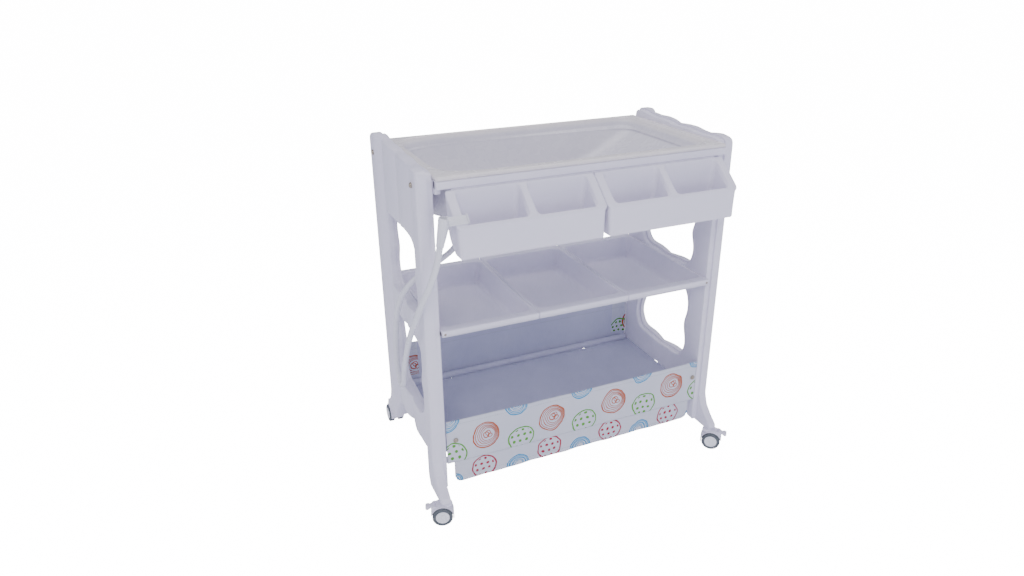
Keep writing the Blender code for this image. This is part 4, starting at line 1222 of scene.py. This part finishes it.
def build_skirt():
    """The cloth that hangs below the apron's seam, its lower corners rounded."""
    low, high = frame_box("basket_front_skirt")
    apron_low, apron_high = frame_box("basket_front_apron")

    def place(x, z):
        down = (high.z - z) / (high.z - low.z)
        span = 1 - (abs(x) / high.x) ** 2
        hem = 0.0008 * clamp((low.z + 0.009 - z) / 0.0015)
        hang = (0.0016 * down + wrinkle(x, z, 2.1) * (0.4 + down)) * (0.3 + span)
        beyond = max(0.0, abs(x) - (high.x - SKIRT_CORNER)) / SKIRT_CORNER
        rise = SKIRT_CORNER * (1 - math.sqrt(max(0.0, 1 - beyond**2)))
        sink = SKIRT_DROP * (1 - x / high.x) / 2
        return x, (apron_low.y + apron_high.y) / 2 + 0.0008 - hem + hang, z + (rise * 0.9 - sink) * down

    skirt = cloth_sheet("basket_skirt_cloth", "basket_front_skirt", 141, 15, place, SKIRT)
    shell(skirt, CLOTH_THICKNESS, 0.0)


def build_sleeve():
    """The cloth sleeve round the rear rail, between the back wall and the floor."""
    low, high = frame_box("basket_rear_rail")
    middle, radius = (low + high) / 2, (high.z - low.z) / 2 + 0.0016
    reach = frame_box("basket_floor")[1].x
    rings = []
    for x in np.linspace(-reach, reach, 120):
        swell = radius + 0.0004 + 0.0004 * math.sin(23.0 * x + 1.3 * math.sin(61.0 * x))
        rings.append([(x, y, z) for y, z in circle(middle.y, middle.z, swell, 28)])
    bm = bmesh.new()
    stack(bm, ring(bm, rings[0]), rings[1:])
    sleeve = piece("basket_rear_sleeve", bm, BACK)
    shell(sleeve, 0.001)


def build_floor_pad():
    """A stiffened, lightly padded floor: a flat pillow puffed by a cloth simulation, its ends turned up."""
    low, high = frame_box("basket_floor")
    inset = 0.0005
    loop = rounded_box((low.x + inset, low.y + inset), (high.x - inset, high.y + 0.0028), 0.005, 0.008)
    bm = bmesh.new()
    faces = []
    for side in (1, -1):
        def surface(x, y, depth):
            turned_up = PAD_TURN * eased((abs(x) - 0.349) / 0.011)
            return x, y, (low.z + high.z) / 2 + side * (0.0024 - depth) + turned_up

        faces += deck(bm, [loop], [0.002], surface, (0.009, 0.009), 2)
    join(bm, *faces)
    pad = piece("basket_floor_pad", bm, LINING, ["basket_floor"], sharp=70.0)
    puff(pad, 2.2, 0.003)


def puff(thing, pressure, most):
    """Blow a closed mesh up a little with Blender's cloth, no point moving further than most."""
    rest = np.empty(len(thing.data.vertices) * 3)
    thing.data.vertices.foreach_get("co", rest)
    cloth = thing.modifiers.new("cloth", "CLOTH")
    cloth.settings.use_pressure = True
    cloth.settings.uniform_pressure_force = pressure
    cloth.settings.quality = 6
    cloth.settings.mass = 0.3
    cloth.settings.tension_stiffness = 25.0
    cloth.settings.bending_stiffness = 6.0
    cloth.settings.effector_weights.gravity = 0.0
    scene = bpy.context.scene
    for step in range(1, 16):
        scene.frame_set(step)
    depsgraph = bpy.context.evaluated_depsgraph_get()
    result = thing.evaluated_get(depsgraph).to_mesh()
    moved = np.empty(len(result.vertices) * 3)
    result.vertices.foreach_get("co", moved)
    thing.evaluated_get(depsgraph).to_mesh_clear()
    thing.modifiers.remove(cloth)
    scene.frame_set(1)
    shift = (moved - rest).reshape(-1, 3)
    shift[:, :2] = 0.0  # the board inside keeps the outline
    shift[:, 2] = np.clip(shift[:, 2], -most, most)
    thing.data.vertices.foreach_set("co", rest + shift.ravel())
    thing.data.update()


# Camera, light and floor


CAMERA_PLACE = (-0.8021, -1.623, 1.2569)
LENS, YAW, PITCH, ROLL = 26.17, 0.406, 0.4115, -0.0095


def build_camera():
    camera = linked("camera", bpy.data.cameras.new("camera"))
    camera.data.sensor_width = 36.0
    camera.data.lens = LENS
    turn = Matrix.Rotation(-YAW, 4, "Z") @ Matrix.Rotation(math.pi / 2 - PITCH, 4, "X")
    place = Matrix.Translation(Vector(CAMERA_PLACE) - Vector((0, 0, FRAME_DROP)))
    camera.matrix_world = place @ turn @ Matrix.Rotation(ROLL, 4, "Z")
    bpy.context.scene.camera = camera


LIGHTS = (  # name, place, size, power in watts, colour
    ("key", (-1.3, -2.4, 2.7), 1.3, 42.0, (1.0, 0.98, 0.95)),
    ("low", (-0.2, -3.0, 0.8), 1.0, 17.0, (0.88, 0.9, 1.0)),
    ("side", (-2.6, 0.4, 1.5), 1.4, 11.0, (0.93, 0.94, 1.0)),
    ("top", (0.5, 0.6, 3.0), 1.8, 30.0, (1.0, 0.98, 0.95)),
    ("fill", (2.4, -1.9, 1.2), 1.8, 12.0, (0.9, 0.92, 1.0)),
)


def build_light():
    world = bpy.data.worlds.new("studio")
    world.use_nodes = True
    sky = world.node_tree.nodes["Background"].inputs
    sky["Color"].default_value = (0.76, 0.79, 1.0, 1.0)
    sky["Strength"].default_value = 0.62
    bpy.context.scene.world = world
    for name, place, size, power, colour in LIGHTS:
        light = bpy.data.lights.new(name, "AREA")
        light.size = size
        light.energy = power
        light.color = colour
        lamp = linked(name, light)
        aim = Vector((0.0, 0.0, 0.45)) - Vector(place)
        lamp.matrix_world = Matrix.Translation(place) @ aim.to_track_quat("-Z", "Y").to_matrix().to_4x4()


def build_floor():
    """A wide pale floor that looks as bright as a lit studio sweep without lighting the table."""
    bm = bmesh.new()
    bmesh.ops.create_grid(bm, x_segments=1, y_segments=1, size=60.0)
    mesh = bpy.data.meshes.new("floor")
    bm.to_mesh(mesh)
    bm.free()
    floor = linked("floor", mesh)
    graph = Graph("pale_floor")
    shade = graph.cloudy(2.0, 2.0, (0.93, 0.93, 0.93), (0.95, 0.95, 0.95))
    seen = graph.output("ShaderNodeLightPath", "Is Camera Ray")
    graph.feed(graph.shader.inputs["Emission Color"], graph.mix(seen, (0.8, 0.84, 1.0), (1.0, 1.0, 1.0)))
    graph.feed(graph.shader.inputs["Emission Strength"], seen * 15.0 + 0.25)
    mesh.materials.append(graph.finish(shade, 0.6))


build_camera()
build_light()
build_floor()
build_clip()
build_hose()
for side, sign in SIDES:
    build_panel(side, sign)
    build_organiser("organiser_" + side, sign)
build_tray("shelf_tray_left", -INNER_X, -SHELF_SEAM)
build_tray("shelf_tray_middle", -SHELF_SEAM, SHELF_SEAM)
build_tray("shelf_tray_right", SHELF_SEAM, INNER_X)
build_bath()
build_rails()
build_bolts()
build_drain()
build_castors()
build_basket()

for name, node in frame["nodes"].items():
    if not node.hide_render:
        node.data.materials.clear()
        node.data.materials.append((STEEL if name.endswith("axle") else WHITE)[0])
